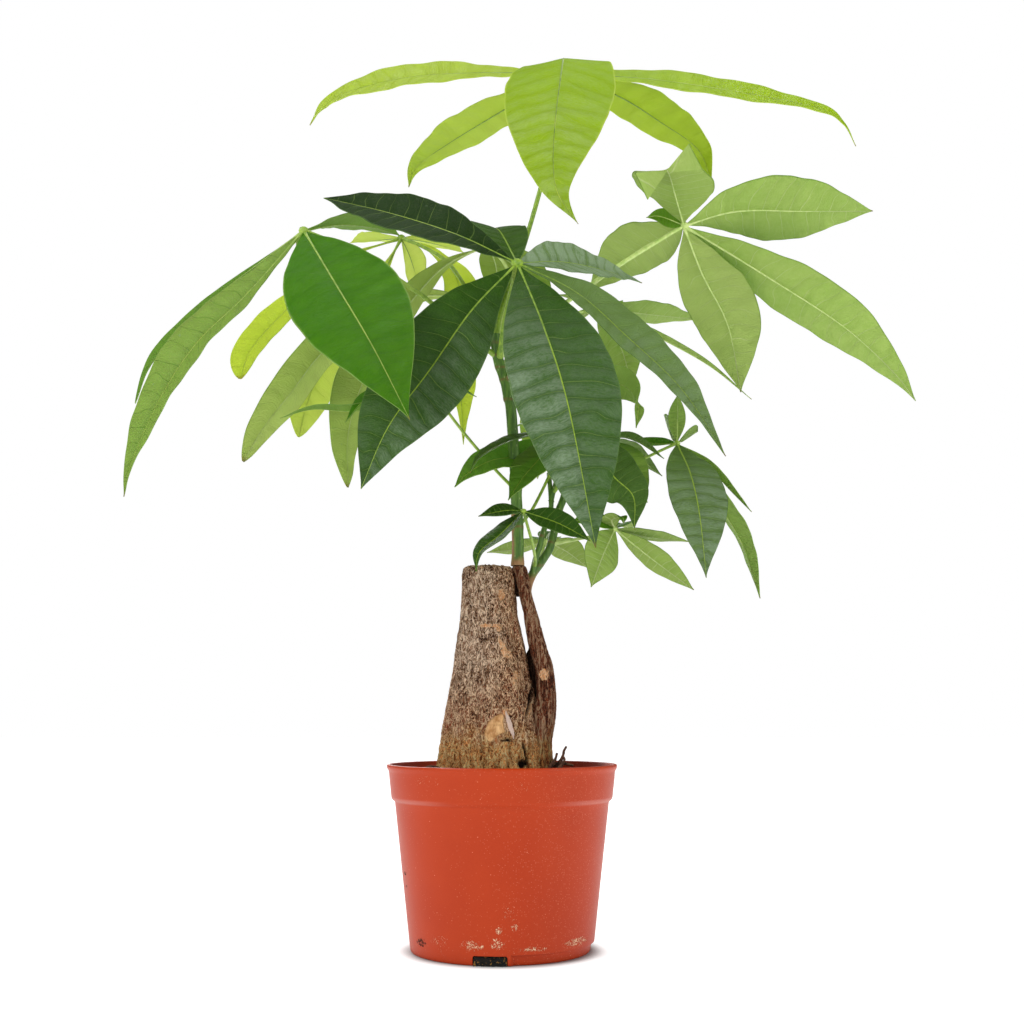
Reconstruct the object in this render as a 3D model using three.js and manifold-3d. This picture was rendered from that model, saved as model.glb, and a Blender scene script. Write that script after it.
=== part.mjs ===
// A money tree (Pachira aquatica) in its plastic nursery pot, in millimetres, +Z up.
// The origin is the middle of the pot's floor, on the surface that the pot stands on.
// -Y is the front. Every leaf is one solid: its petiole, its hub and its leaflets.
import * as THREE from 'three';
import { mergeVertices } from 'three/addons/utils/BufferGeometryUtils.js';
import Module from 'manifold-3d';

const wasm = await Module();
wasm.setup();

// ---------- driving dimensions ----------

const SEAT = 0.3; // gap kept between two solids that rest on or in each other
const CUT = 3; // how far a cutter runs past the face that it cuts
const SAME = 1e-4; // points nearer than this are one point
const TURN = Math.PI * 2;
const TUBE_STEPS = 1.4; // rings of a tube for each point of its line

const POT = {
  height: 93.7, rimRadius: 60, rimLip: 1.6, bandBottom: 76.7, ledge: 75.0,
  bandFootRadius: 57.6, shoulderRadius: 55.7, footRadius: 46.8,
  wall: 1.8, floor: 2.4, edge: 1.2, sides: 48,
  notchCount: 3, notchWidth: 17, notchHeight: 4.9, notchReach: 12, notchTurn: -96.6,
  reliefDepth: 1.5, reliefHeight: 5.2, reliefFrom: -84, reliefTo: 19, reliefSteps: 18,
  fillet: 0.6, bandFillet: 1, lipFall: 0.7, lipFallHeight: 1.6, lipRound: 0.4,
};

const SOIL = {
  edge: 84.5, crown: 90.5, rings: 5, sides: 32, rough: 2.2, seed: 11, slack: 0.6, ledgeSlack: 0.2,
  middle: 1, innermost: 2, riseFrom: 0.1, riseTo: 0.6,
};

// Sections of the stump: height, middle x and y, half width and half depth
const STUMP = [
  [46, 0, 3, 15, 14], [58, -2, 2, 25, 22], [72, -3, 2, 29.5, 27], [90, -4.3, 1, 30.4, 28.5],
  [98, -4.3, 1, 29.2, 27], [109, -4.6, 0.5, 27.4, 25], [119, -4.9, 0, 25, 23.2],
  [130, -5.6, 0, 22.2, 21], [145, -6, 0, 19.4, 18.6], [158, -6.4, 0, 17.4, 16.8],
  [170, -7.2, 0, 15, 15], [184, -7.3, 0, 14.1, 14], [192, -7.5, 0, 13.6, 13.4],
  [196, -7.7, 0, 12.4, 12.2], [197.6, -7.8, 0, 9.8, 9.6],
];
// The side trunk leans off the stump: the same numbers
const SIDE_TRUNK = [
  [60, 14, -4, 7, 9], [86, 18, -5, 8.4, 11], [104, 18.6, -5, 7.2, 9.5], [118, 21, -5, 6.7, 8.4],
  [128, 22.9, -4.8, 5.2, 7.4], [137, 22.8, -4.5, 4.8, 6.8], [144, 21.9, -4.3, 4.7, 6.4],
  [156, 18.3, -4, 4.5, 5.8], [168, 15.8, -3.6, 3.8, 5], [180, 12.9, -3, 3.3, 4.4],
  [190, 10.8, -2.4, 3.3, 4], [197.5, 9.1, -1.6, 3.8, 3.8],
];
// The web of wood at the back of the cleft between the two: the same numbers
const WEB = [
  [100, 16, 2, 7, 7], [120, 17, 2, 6.4, 6], [136, 17, 1.8, 5, 4.8], [147, 15.4, 1.4, 3.6, 3.6],
  [151, 14.6, 1.2, 2, 2.4],
];
const STEM_SIDES = 8;
const TRUNK = {
  sides: 20, sideSides: 10, ridge: 0.035, ridges: 7, wander: 0.045, lobes: 2, lobeWander: 0.03,
};

// Green stems: points on the axis, then the radius at the foot and at the top
const STEMS = {
  stem_main: {
    path: [[8.2, -1.4, 197.8], [8.3, -1, 212], [7.6, 0, 234], [7.2, 0, 246], [4.7, 0, 283],
      [3.4, 0, 290], [1.4, 0, 300], [-1.9, 0, 310], [-3.6, 0, 320], [-4, 0, 326]],
    foot: 3.2, top: 2.8,
  },
  stem_side: {
    path: [[13.3, -2.4, 178.4], [13.2, 3.6, 185], [15.6, 8.8, 193], [21, 10, 201.2], [25.3, 10, 207.7],
      [27.6, 10, 215], [30.4, 10, 228], [33.1, 10, 235.3], [34.8, 10, 241], [37, 10.5, 248]],
    foot: 2.5, top: 1.9,
  },
};
const TWIGS = [ // thinner branches that grow from the side stem
  { path: [[16, 9, 194], [18.2, 6.5, 203], [20.4, 6, 210.2], [22.1, 6, 217], [25.9, 7, 228.4],
    [26.5, 7, 235], [25.5, 9, 250]], foot: 1.7, top: 1.2 },
  { path: [[26.5, 7, 234], [28.2, 6.5, 241], [30.2, 6, 248.5]], foot: 1.3, top: 1.2 },
];

// ---------- leaves ----------

// `peak` is where a blade is widest, as a share of its length; `fullness` sets how fast it narrows.
// `root` is how far from the middle of the hub a blade begins.
const BLADE = {
  thick: 0.8, edgeThick: 0.65, stalk: 1.1, tip: 0.5, root: 1, end: 0.995, peak: 0.45, fullness: 2.6,
  broad: 22, broadStations: 7, narrowStations: 5,
};
const PETIOLE = { radius: 1.25, swelling: 1.5, sides: 5 };
const HUB = { across: 7, up: 5, squash: 0.8 };

// A leaflet: points of its midrib from the hub (the last is the tip), its widest width, how far it is
// turned about its own line and how far each half is folded up, in degrees, and where it is widest.
const leaflet = (rib, wide, turn = 0, fold = 8, peak = BLADE.peak) => ({ rib, wide, turn, fold, peak });

const LEAVES = {
  leaf_top: {
    hub: [34, 8, 483],
    size: 3.4,
    tone: 'fresh',
    petiole: [[30, 7, 452], [21, 6, 412], [10, 5, 373], [-1, 2, 340], [-4, 0, 321]],
    leaflets: [
      leaflet(
        [[-47, 4, 3], [-88, 11, 4], [-123, 16, -2], [-139, 19, -10], [-148, 20, -22]],
        43, -44, 4, 0.6,
      ),
      leaflet([[-34, 22, -11], [-66, 46, -20], [-88, 60, -30], [-93, 64, -42]], 38, -2, 4, 0.52),
      leaflet(
        [[-1, -42, -13], [-6, -68, -56], [-8, -81, -88], [-6, -88, -108], [4, -92, -126]],
        59, 6, -8, 0.41,
      ),
      leaflet([[34, 22, -2], [61, 40, -10], [85, 52, -22], [94, 56, -42]], 43, 4, 4, 0.5),
      leaflet([[51, 2, -2], [102, 0, -11], [146, -1, -21], [160, -2, -31], [167, -2, -45]], 35, 44, 4),
      leaflet([[1, 54, -8], [0, 96, -34]], 34, 0, 12),
    ],
  },
  leaf_centre: {
    hub: [8, -45, 351],
    size: 3.6,
    tone: 'dark',
    petiole: [[6, -34, 345], [1, -14, 328], [-2, 0, 311]],
    leaflets: [
      leaflet([[-31, -1, 15], [-66, 5, 29], [-104, 15, 42]], 41, -47, 8, 0.54),
      leaflet([[-10, 37, 32], [-16, 72, 44], [-18, 98, 44]], 30, 0, 10),
      leaflet([[23, 12, 5], [47, 28, 6], [69, 40, 3]], 38, 44, 10),
      leaflet([[30, -7, -18], [55, -13, -43], [82, -15, -71], [104, -13, -105]], 34, 40, 12, 0.47),
      leaflet([[13, -25, -42], [24, -43, -86], [36, -53, -156]], 56, 27, 8, 0.43),
      leaflet([[-23, -7, -27], [-44, -15, -61], [-64, -19, -91], [-77, -21, -123]], 47, -74, 8, 0.52),
      leaflet([[-1, -4, -8], [-1, -7, -16]], 4, 0, 0),
    ],
  },
  leaf_left: {
    hub: [-104, -42, 370],
    size: 3,
    tone: 'mid',
    petiole: [[-75, -34, 360], [-53, -26, 347], [-39, -18, 339], [-16, -6, 322], [-2.5, 0, 313]],
    leaflets: [
      leaflet([[-23, 6, -15], [-52, 12, -36], [-80, 18, -63], [-91, 22, -88]], 13, -50, 10, 0.68),
      leaflet(
        [[-29, 0, -35], [-54, 2, -60], [-72, 4, -88], [-86, 5, -122], [-90, 6, -141]],
        36, -52, 14, 0.5,
      ),
      leaflet([[19, -20, -34], [41, -38, -73], [61, -50, -113]], 59, 44, 6),
      leaflet([[15, 20, 11], [30, 50, 21], [44, 76, 26]], 32, -8, 12),
      leaflet([[4, 14, -10], [14, 22, -36]], 26, 0, 12),
    ],
  },
  leaf_right: {
    hub: [101, 0, 389],
    size: 3,
    tone: 'pale',
    petiole: [[82, 0, 377], [65, 0, 366], [36, 0, 345], [8, 0.5, 322], [-2, 0, 313]],
    leaflets: [
      leaflet([[-7, -22, 8], [-14, -46, 12], [-16, -30, 16]], 45, -10, 4, 0.56),
      leaflet([[-14, -8, 2], [-22, -12, 0]], 11, -88, 8),
      leaflet([[29, -6, 6], [67, -6, 6], [105, -4, 7]], 48, -25, 3, 0.5),
      leaflet([[46, 10, -25], [92, 20, -52], [121, 26, -77], [134, 28, -94]], 41, -20, 6, 0.5),
      leaflet([[12, 15, -23], [28, 27, -50], [36, 36, -87]], 43, -9, 8, 0.49),
      leaflet([[-22, 20, -6], [-38, 34, -14], [-52, 44, -25]], 40, 18, 5, 0.43),
    ],
  },
  leaf_back_left: {
    hub: [-62, 62, 405],
    size: 2.8,
    tone: 'fresh',
    petiole: [[-47, 52, 395], [-33, 40, 382], [-22, 24, 362], [-11, 10, 337], [-3.6, 0, 318]],
    leaflets: [
      leaflet([[-31, -2, -13], [-61, -8, -42], [-85, -14, -72], [-91, -18, -93]], 28, -44, 10, 0.76),
      leaflet([[-16, -5, -35], [-41, -9, -75], [-52, -12, -103], [-57, -15, -127]], 34, 58, 8, 0.68),
      leaflet([[20, 4, -9], [35, 1, -30], [36, -4, -78], [39, -8, -130]], 38, 25, 8, 0.46),
      leaflet([[6, -2, -13], [14, -8, -40]], 22, -66, 8, 0.5),
      leaflet([[-15, 22, 7], [-37, 46, 14]], 24, 0, 10),
      leaflet([[16, 24, 6], [36, 50, 9]], 28, 0, 10),
    ],
  },
  leaf_mid_left: {
    hub: [-8, 22, 386],
    size: 2.6,
    tone: 'grey',
    petiole: [[2, 21, 372], [4, 17, 358], [0, 10, 340], [-1.5, 5, 326], [-3, 0, 316]],
    leaflets: [
      leaflet([[-29, -8, -19], [-60, -22, -67], [-75, -26, -112], [-75, -28, -147]], 37, 50, 8, 0.66),
      leaflet([[4, 34, -4], [4, 62, -20]], 20, 0, 10),
      leaflet([[20, 30, -4], [40, 54, -22]], 26, 0, 10),
    ],
  },
  leaf_inner: {
    hub: [1, 40, 354],
    size: 2.6,
    tone: 'grey',
    petiole: [[4, 24, 337], [3.5, 10, 320], [0, 0, 306]],
    leaflets: [
      leaflet(
        [[-49, -3, 6], [-97, -14, -24], [-122, -18, -57], [-136, -20, -77], [-146, -21, -96]],
        31, 36, 8, 0.7,
      ),
      leaflet([[12, 30, 6], [26, 58, -6]], 26, 0, 10),
      leaflet([[22, 14, 2], [40, 24, -12]], 20, 0, 10),
    ],
  },
  leaf_mid_right: {
    hub: [55, 40, 355],
    size: 2.4,
    tone: 'pale',
    petiole: [[33, 24, 341], [13, 9, 317], [1.4, 0, 299]],
    leaflets: [
      leaflet([[26, 10, -1], [65, 26, 0]], 26, -12, 4),
      leaflet([[35, 6, -16], [66, 12, -32], [92, 16, -52]], 9, 9, 24, 0.4),
      leaflet([[13, 2, -22], [21, 6, -48]], 28, -30, 8),
      leaflet([[-11, -6, 2], [-24, -10, 4]], 9, 0, 10),
      leaflet([[-7, -4, -6], [-15, -8, -8]], 9, 27, 10),
      leaflet([[6, 36, 11], [13, 68, 14]], 26, 0, 10),
    ],
  },
  leaf_low_left: {
    hub: [-39, -22, 288],
    size: 2.2,
    tone: 'mid',
    petiole: [[-33, -14, 284], [-20, 9, 271], [-4, 14, 253], [7.4, 1, 239]],
    leaflets: [
      leaflet([[-36, -6, -11], [-60, -8, -11], [-77, -9, -16]], 14, 0, 16),
      leaflet([[-22, -8, -4], [-33, -12, -8], [-42, -16, -20]], 14, -33, 20),
      leaflet([[14, 12, 5], [25, 22, 3]], 12, 35, 10),
      leaflet([[2, -12, -8], [-1, -20, -20]], 12, 58, 10),
    ],
  },
  leaf_low_mid: {
    hub: [31, 8, 271],
    size: 2.2,
    tone: 'dark',
    petiole: [[29, 8, 257], [24, 7, 245], [15.6, 5, 228.4], [8, 0, 219]],
    leaflets: [
      leaflet([[-21, -6, -12], [-37, -10, -16], [-49, -12, -23], [-57, -12, -31]], 27, -40, 8, 0.5),
      leaflet([[-16, -18, -4], [-31, -26, -10], [-43, -30, -18], [-48, -32, -27]], 16, -12, 10),
      leaflet([[-11, -16, -16], [-20, -24, -28], [-28, -30, -41]], 26, -14, 6),
      leaflet([[-12, 12, 12], [-25, 26, 10]], 20, -36, 8),
      leaflet([[10, 20, -2], [22, 36, -14]], 20, 0, 10),
    ],
  },
  leaf_low_centre: {
    hub: [50, 0, 267],
    size: 2.2,
    tone: 'dark',
    petiole: [[44, 1, 259], [36, 4, 250], [27.8, 6.6, 239]],
    leaflets: [
      leaflet([[4, -4, 26], [15, -6, 29], [23, -8, 19], [22, -10, 4]], 20, -62, 8, 0.5),
      leaflet([[19, -4, 0], [37, -8, -12]], 12, 28, 14),
      leaflet([[21, 22, -2], [40, 28, -15]], 18, -7, 8),
      leaflet([[15, -8, -13], [27, -14, -37]], 26, 32, 6),
      leaflet([[8, -20, -23], [18, -28, -36], [18, -32, -54]], 28, 48, 6),
    ],
  },
  leaf_far_right: {
    hub: [96, 10, 267],
    size: 2.2,
    tone: 'mid',
    petiole: [[87, 11, 263], [74, 12, 257], [54, 13, 249], [36, 10.3, 243]],
    leaflets: [
      leaflet([[0, -4, 12], [0, -8, 26]], 11, 20, 6, 0.5),
      leaflet([[-3, 6, 8], [-5, 12, 19]], 15, 60, 6, 0.6),
      leaflet([[6, 4, 5], [13, 10, 9]], 14, -30, 6, 0.6),
      leaflet([[5, -16, -20], [8, -26, -44], [10, -32, -78]], 34, 0, 8),
      leaflet([[17, 4, -11], [30, 6, -25], [42, 8, -37]], 11, 3, 16, 0.48),
      leaflet([[16, 10, -19], [27, 14, -35], [39, 20, -55], [48, 22, -84]], 22, 9, 14, 0.52),
      leaflet([[-11, 6, 1], [-24, 10, 5]], 12, -32, 14),
    ],
  },
  leaf_low_front: {
    hub: [11, -36, 222],
    size: 2,
    tone: 'dark',
    petiole: [[13, -30, 216], [16, -14, 208], [17.6, 2, 202], [17, 8, 198]],
    leaflets: [
      leaflet([[-9, -2, 0], [-23, -4, -3]], 13, -36, 8),
      leaflet([[-12, -6, -13], [-22, -10, -22], [-24, -10, -32]], 17, -17, 8),
      leaflet([[18, -4, -7], [34, -6, -16]], 20, 40, 8),
    ],
  },
  leaf_low_right: {
    hub: [61, 6, 219],
    size: 2,
    tone: 'pale',
    petiole: [[53, 8, 216], [38, 9, 213], [26.4, 10, 211]],
    leaflets: [
      leaflet([[-2, -6, 4], [3, -10, 5], [4, -12, 1]], 12, 0, 8),
      leaflet([[-11, -6, 4], [-24, -12, 2]], 15, -49, 8),
      leaflet([[-7, -6, -15], [-14, -10, -33]], 24, 89, 6),
      leaflet([[20, 2, -16], [43, 4, -33]], 18, -32, 8, 0.5),
      leaflet([[19, 4, -4], [42, 8, -6]], 16, -12, 8),
      leaflet([[6, 22, 6], [13, 42, 5]], 16, 0, 8),
    ],
  },
  leaf_low_back: {
    hub: [24, 34, 216],
    size: 2,
    tone: 'pale',
    petiole: [[22, 24, 208], [19, 10, 199]],
    leaflets: [
      leaflet([[-15, 2, -4], [-33, 4, -6]], 16, 21, 8),
      leaflet([[12, 6, -5], [25, 12, -14]], 21, -23, 8),
      leaflet([[1, 24, 4], [2, 46, 2]], 18, 0, 8),
      leaflet([[4, 16, 7], [18, 32, 8]], 14, 0, 8),
    ],
  },
  leaf_rear: {
    hub: [29, 44, 288],
    size: 2.4,
    tone: 'grey',
    petiole: [[29, 34, 276], [27, 18, 260], [25.5, 9.2, 248]],
    leaflets: [
      leaflet([[2, 34, 8], [4, 70, -14]], 28, 0, 10),
      leaflet([[-6, 26, 8], [-15, 54, -14]], 24, 0, 10),
      leaflet([[12, 26, 6], [24, 56, -16]], 26, 0, 10),
      leaflet([[4, 16, -10], [8, 28, -38]], 20, 0, 10),
      leaflet([[-5, 8, -10], [-9, 16, -32]], 18, 0, 10),
    ],
  },
};

const COLOURS = {
  pot: { color: 0xc8553a, roughness: 0.5 },
  soil: { color: 0x2b2018, roughness: 1 },
  bark: { color: 0x7d6850, roughness: 0.9 },
  stem: { color: 0x4f6b2c, roughness: 0.6 },
  fresh: { color: 0x9cc31e, roughness: 0.35 },
  dark: { color: 0x2c5c1e, roughness: 0.35 },
  mid: { color: 0x4b8a26, roughness: 0.4 },
  grey: { color: 0x6f9550, roughness: 0.45 },
  pale: { color: 0x9dbf62, roughness: 0.55 },
};

// ---------- helpers ----------

const vec = (p) => new THREE.Vector3(...p);
const radians = THREE.MathUtils.degToRad;

function seeded(seed) {
  let state = seed;
  return () => {
    state = (state * 16807) % 2147483647;
    return state / 2147483647;
  };
}

/** A smooth line through the points. */
const curveThrough = (points) => new THREE.CatmullRomCurve3(points.map(vec), false, 'catmullrom', 0.5);

/**
 * Closes a row of rings, each an even number of points, into a skin with a strip over each end.
 * Quads from column `flipFrom` on are split along the other diagonal.
 */
function loft(rings, flipFrom = Infinity) {
  const sides = rings[0].length;
  const index = [];
  for (let i = 0; i + 1 < rings.length; i += 1) {
    for (let j = 0; j < sides; j += 1) {
      const next = (j + 1) % sides;
      const [a, b] = [i * sides + j, i * sides + next];
      const [c, d] = [a + sides, b + sides];
      if (j < flipFrom) index.push(a, b, c, b, d, c);
      else index.push(a, b, d, a, d, c);
    }
  }
  const last = (rings.length - 1) * sides;
  for (let j = 0; j + 1 < sides / 2; j += 1) {
    const [a, b] = [j, j + 1];
    const [c, d] = [sides - 1 - j, sides - 2 - j];
    index.push(a, c, b, b, c, d);
    index.push(last + a, last + b, last + c, last + b, last + d, last + c);
  }
  const geometry = new THREE.BufferGeometry();
  const points = rings.flat().flatMap((p) => [p.x, p.y, p.z]);
  geometry.setAttribute('position', new THREE.Float32BufferAttribute(points, 3));
  geometry.setIndex(index);
  return geometry;
}

/** A solid for joining and cutting. */
function solid(geometry) {
  const bare = geometry.clone();
  bare.deleteAttribute('normal');
  bare.deleteAttribute('uv');
  const merged = mergeVertices(bare, SAME);
  return new wasm.Manifold(new wasm.Mesh({
    numProp: 3,
    vertProperties: new Float32Array(merged.attributes.position.array),
    triVerts: new Uint32Array(merged.index.array),
  }));
}

const joined = (solids) => solids.reduce((whole, piece) => whole.add(piece));

/** A named mesh of a solid, in one of the colours. */
function meshOf(name, body, colour) {
  const { vertProperties, triVerts, numProp } = body.getMesh();
  if (numProp !== 3) throw new Error(`${name} has more than positions`);
  const geometry = new THREE.BufferGeometry();
  geometry.setAttribute('position', new THREE.BufferAttribute(vertProperties, 3));
  geometry.setIndex(new THREE.BufferAttribute(triVerts, 1));
  geometry.computeVertexNormals();
  const material = new THREE.MeshStandardMaterial({ ...COLOURS[colour], metalness: 0 });
  const mesh = new THREE.Mesh(geometry, material);
  mesh.name = name;
  return mesh;
}

/**
 * A round tube along a line of points whose radius runs from `foot` to `top`.
 * `grow` makes it that much larger all round, at both ends too.
 */
function tube(path, foot, top, sides, grow = 0) {
  const curve = curveThrough(path);
  const steps = Math.ceil(path.length * TUBE_STEPS);
  const frames = curve.computeFrenetFrames(steps, false);
  const rings = [];
  for (let i = 0; i <= steps; i += 1) {
    const middle = curve.getPointAt(i / steps);
    const radius = THREE.MathUtils.lerp(foot, top, i / steps) + grow;
    const ring = [];
    for (let j = 0; j < sides; j += 1) {
      const angle = (j / sides) * TURN;
      ring.push(middle.clone()
        .addScaledVector(frames.normals[i], Math.cos(angle) * radius)
        .addScaledVector(frames.binormals[i], Math.sin(angle) * radius));
    }
    rings.push(ring);
  }
  rings[0].forEach((p) => p.addScaledVector(frames.tangents[0], -grow));
  rings.at(-1).forEach((p) => p.addScaledVector(frames.tangents[steps], grow));
  return solid(loft(rings));
}

// ---------- pot and soil ----------

/** Radius of the pot's tapered side at a height, outside. */
const sideRadius = (z) => THREE.MathUtils.lerp(POT.footRadius, POT.shoulderRadius, z / POT.ledge);

/** Radius inside the pot at a height. */
function innerRadius(z) {
  if (z < POT.ledge) return sideRadius(z) - POT.wall;
  const up = (z - POT.ledge) / (POT.height - POT.ledge);
  return THREE.MathUtils.lerp(sideRadius(POT.ledge) - POT.wall, POT.rimRadius - POT.wall - POT.fillet, up);
}

function pot() {
  const { height, rimRadius, rimLip, bandBottom, ledge, edge, floor } = POT;
  const profile = [
    [0, 0], [POT.footRadius - edge, 0], [POT.footRadius, edge],
    [sideRadius(ledge), ledge],
    [POT.bandFootRadius - POT.lipRound, bandBottom - POT.fillet],
    [POT.bandFootRadius, bandBottom + POT.bandFillet],
    [rimRadius - POT.lipFall, height - rimLip - POT.lipFallHeight], [rimRadius, height - rimLip],
    [rimRadius, height - POT.lipRound], [rimRadius - POT.lipRound, height],
    [innerRadius(height), height],
    [innerRadius(ledge), ledge], [innerRadius(floor), floor], [0, floor],
  ];
  const bodyShape = new THREE.LatheGeometry(profile.map(([r, z]) => new THREE.Vector2(r, z)), POT.sides);
  let body = solid(bodyShape.rotateX(Math.PI / 2));
  for (let i = 0; i < POT.notchCount; i += 1) {
    const turn = radians(POT.notchTurn) + (i * TURN) / POT.notchCount;
    const reach = POT.footRadius + CUT;
    const notch = new THREE.BoxGeometry(POT.notchReach, POT.notchWidth, POT.notchHeight + CUT);
    notch.translate(reach - POT.notchReach / 2, 0, (POT.notchHeight - CUT) / 2);
    body = body.subtract(solid(notch.rotateZ(turn)));
  }
  return body.subtract(footRelief());
}

/** The shallow step round part of the pot's foot. */
function footRelief() {
  const [from, to] = [radians(POT.reliefFrom), radians(POT.reliefTo)];
  const ring = new THREE.Shape();
  ring.absarc(0, 0, POT.footRadius + CUT, from, to, false);
  ring.absarc(0, 0, POT.footRadius - POT.reliefDepth, to, from, true);
  const depth = POT.reliefHeight + CUT;
  const sweep = { depth, bevelEnabled: false, curveSegments: POT.reliefSteps };
  const relief = new THREE.ExtrudeGeometry(ring, sweep);
  return solid(relief.translate(0, 0, -CUT));
}

function soil(trunkHole) {
  const random = seeded(SOIL.seed);
  const floor = POT.floor + SEAT;
  const rings = [];
  const ringAt = (radius, heightOf) => {
    const ring = [];
    for (let j = 0; j < SOIL.sides; j += 1) {
      const angle = (j / SOIL.sides) * TURN;
      ring.push(new THREE.Vector3(Math.cos(angle) * radius, Math.sin(angle) * radius, heightOf(angle)));
    }
    return ring;
  };
  const rimRadius = innerRadius(SOIL.edge) - SEAT - SOIL.slack;
  rings.push(ringAt(SOIL.middle, () => floor));
  rings.push(ringAt(innerRadius(floor) - SEAT, () => floor));
  rings.push(ringAt(innerRadius(POT.ledge) - SEAT - SOIL.ledgeSlack, () => POT.ledge));
  rings.push(ringAt(rimRadius, () => SOIL.edge));
  for (let i = 1; i <= SOIL.rings; i += 1) {
    const share = i / SOIL.rings;
    const radius = THREE.MathUtils.lerp(rimRadius, SOIL.innermost, share);
    const rise = THREE.MathUtils.smoothstep(share, SOIL.riseFrom, SOIL.riseTo);
    const mound = THREE.MathUtils.lerp(SOIL.edge, SOIL.crown, rise);
    rings.push(ringAt(radius, () => mound + (random() - 0.5) * SOIL.rough));
  }
  return solid(loft(rings)).subtract(trunkHole);
}

// ---------- trunk and stems ----------

/** Rings of wood: an oval with shallow ridges that wander round it on the way up. */
function woodRings(sections, sides, grow) {
  return sections.map(([z, x, y, wide, deep]) => {
    const ring = [];
    for (let j = 0; j < sides; j += 1) {
      const angle = (j / sides) * TURN;
      const ridges = Math.sin(TRUNK.ridges * angle + z * TRUNK.wander);
      const lobes = Math.cos(TRUNK.lobes * angle + z * TRUNK.lobeWander);
      const swell = 1 + TRUNK.ridge * ridges * lobes;
      ring.push(new THREE.Vector3(
        x + Math.cos(angle) * (wide * swell + grow),
        y + Math.sin(angle) * (deep * swell + grow),
        z,
      ));
    }
    return ring;
  });
}

function trunk(grow = 0) {
  const stump = woodRings(STUMP, TRUNK.sides, grow);
  const side = woodRings(SIDE_TRUNK, TRUNK.sideSides, grow);
  const web = woodRings(WEB, TRUNK.sideSides, grow);
  for (const rings of [stump, side, web]) {
    rings[0].forEach((p) => p.setZ(p.z - grow));
    rings.at(-1).forEach((p) => p.setZ(p.z + grow));
  }
  return joined([stump, side, web].map((rings) => solid(loft(rings))));
}

function stem(name, grow = 0) {
  const { path, foot, top } = STEMS[name];
  const whole = tube(path, foot, top, STEM_SIDES, grow);
  if (name !== 'stem_side') return whole;
  return joined([whole, ...TWIGS.map((twig) => tube(twig.path, twig.foot, twig.top, PETIOLE.sides, grow))]);
}

// ---------- leaf ----------

/** Half width of a blade at a share of its length, as a share of its widest half width. */
function outline(share, peak) {
  const rise = BLADE.fullness * peak;
  const fall = BLADE.fullness * (1 - peak);
  return (share / peak) ** rise * ((1 - share) / (1 - peak)) ** fall;
}

/** One blade: a folded strip of six-point rings along its midrib. */
function blade({ rib, wide, turn, fold, peak }) {
  const curve = curveThrough([[0, 0, 0], ...rib]);
  const chord = vec(rib.at(-1)).normalize();
  const across = new THREE.Vector3().crossVectors(chord, new THREE.Vector3(0, 0, 1)).normalize();
  across.applyAxisAngle(chord, radians(turn));
  const stations = wide > BLADE.broad ? BLADE.broadStations : BLADE.narrowStations;
  const start = BLADE.root / curve.getLength();
  const rings = [];
  for (let i = 0; i <= stations; i += 1) {
    const share = THREE.MathUtils.lerp(start, BLADE.end, i / stations);
    const middle = curve.getPointAt(share);
    const along = curve.getTangentAt(share);
    const side = across.clone().addScaledVector(along, -across.dot(along)).normalize();
    const up = new THREE.Vector3().crossVectors(side, along);
    const least = share < peak ? BLADE.stalk : BLADE.tip;
    const half = Math.max((outline(share, peak) * wide) / 2, least);
    const lift = half * Math.sin(radians(fold));
    const reach = half * Math.cos(radians(fold));
    const left = middle.clone().addScaledVector(side, reach).addScaledVector(up, lift);
    const right = middle.clone().addScaledVector(side, -reach).addScaledVector(up, lift);
    const offset = (point, thick) => point.clone().addScaledVector(up, thick / 2);
    rings.push([
      offset(right, BLADE.edgeThick), offset(middle, BLADE.thick), offset(left, BLADE.edgeThick),
      offset(left, -BLADE.edgeThick), offset(middle, -BLADE.thick), offset(right, -BLADE.edgeThick),
    ]);
  }
  return solid(loft(rings, 3));
}

function leaf({ hub, size, petiole, leaflets }) {
  const knob = solid(new THREE.SphereGeometry(size, HUB.across, HUB.up).scale(1, 1, HUB.squash));
  const blades = leaflets.map(blade);
  const stalkPath = [[0, 0, 0], ...petiole.map((p) => p.map((value, k) => value - hub[k]))];
  const stalk = tube(stalkPath, PETIOLE.radius, PETIOLE.swelling, PETIOLE.sides);
  return joined([knob, stalk, ...blades]).translate(hub);
}

// ---------- assembly ----------

const tree = new THREE.Group();
tree.name = 'potted_money_tree';

const grownTrunk = trunk(SEAT);
tree.add(meshOf('pot', pot(), 'pot'));
tree.add(meshOf('soil', soil(grownTrunk), 'soil'));
tree.add(meshOf('trunk', trunk(), 'bark'));
tree.add(meshOf('stem_main', stem('stem_main'), 'stem'));
tree.add(meshOf('stem_side', stem('stem_side').subtract(grownTrunk), 'stem'));

const grownStems = Object.keys(STEMS).map((name) => stem(name, SEAT));
for (const [name, parts] of Object.entries(LEAVES)) {
  const body = grownStems.reduce((rest, grown) => rest.subtract(grown), leaf(parts));
  tree.add(meshOf(name, body, parts.tone));
}

export default tree;
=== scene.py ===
"""A potted money tree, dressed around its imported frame.

The tables give lengths in millimetres and angles in degrees. Meshes are in metres, with +Z up and the
front towards -Y, and the origin is the middle of the pot's floor.
"""

from __future__ import annotations

import logging
import math
import random
from contextlib import contextmanager
from dataclasses import dataclass, field
from enum import Enum
from typing import Callable, Iterable, Iterator, Sequence

import bmesh
import bpy
from bpy.types import ID, Material, Node, NodeSocket, Object
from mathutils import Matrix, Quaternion, Vector, noise

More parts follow.
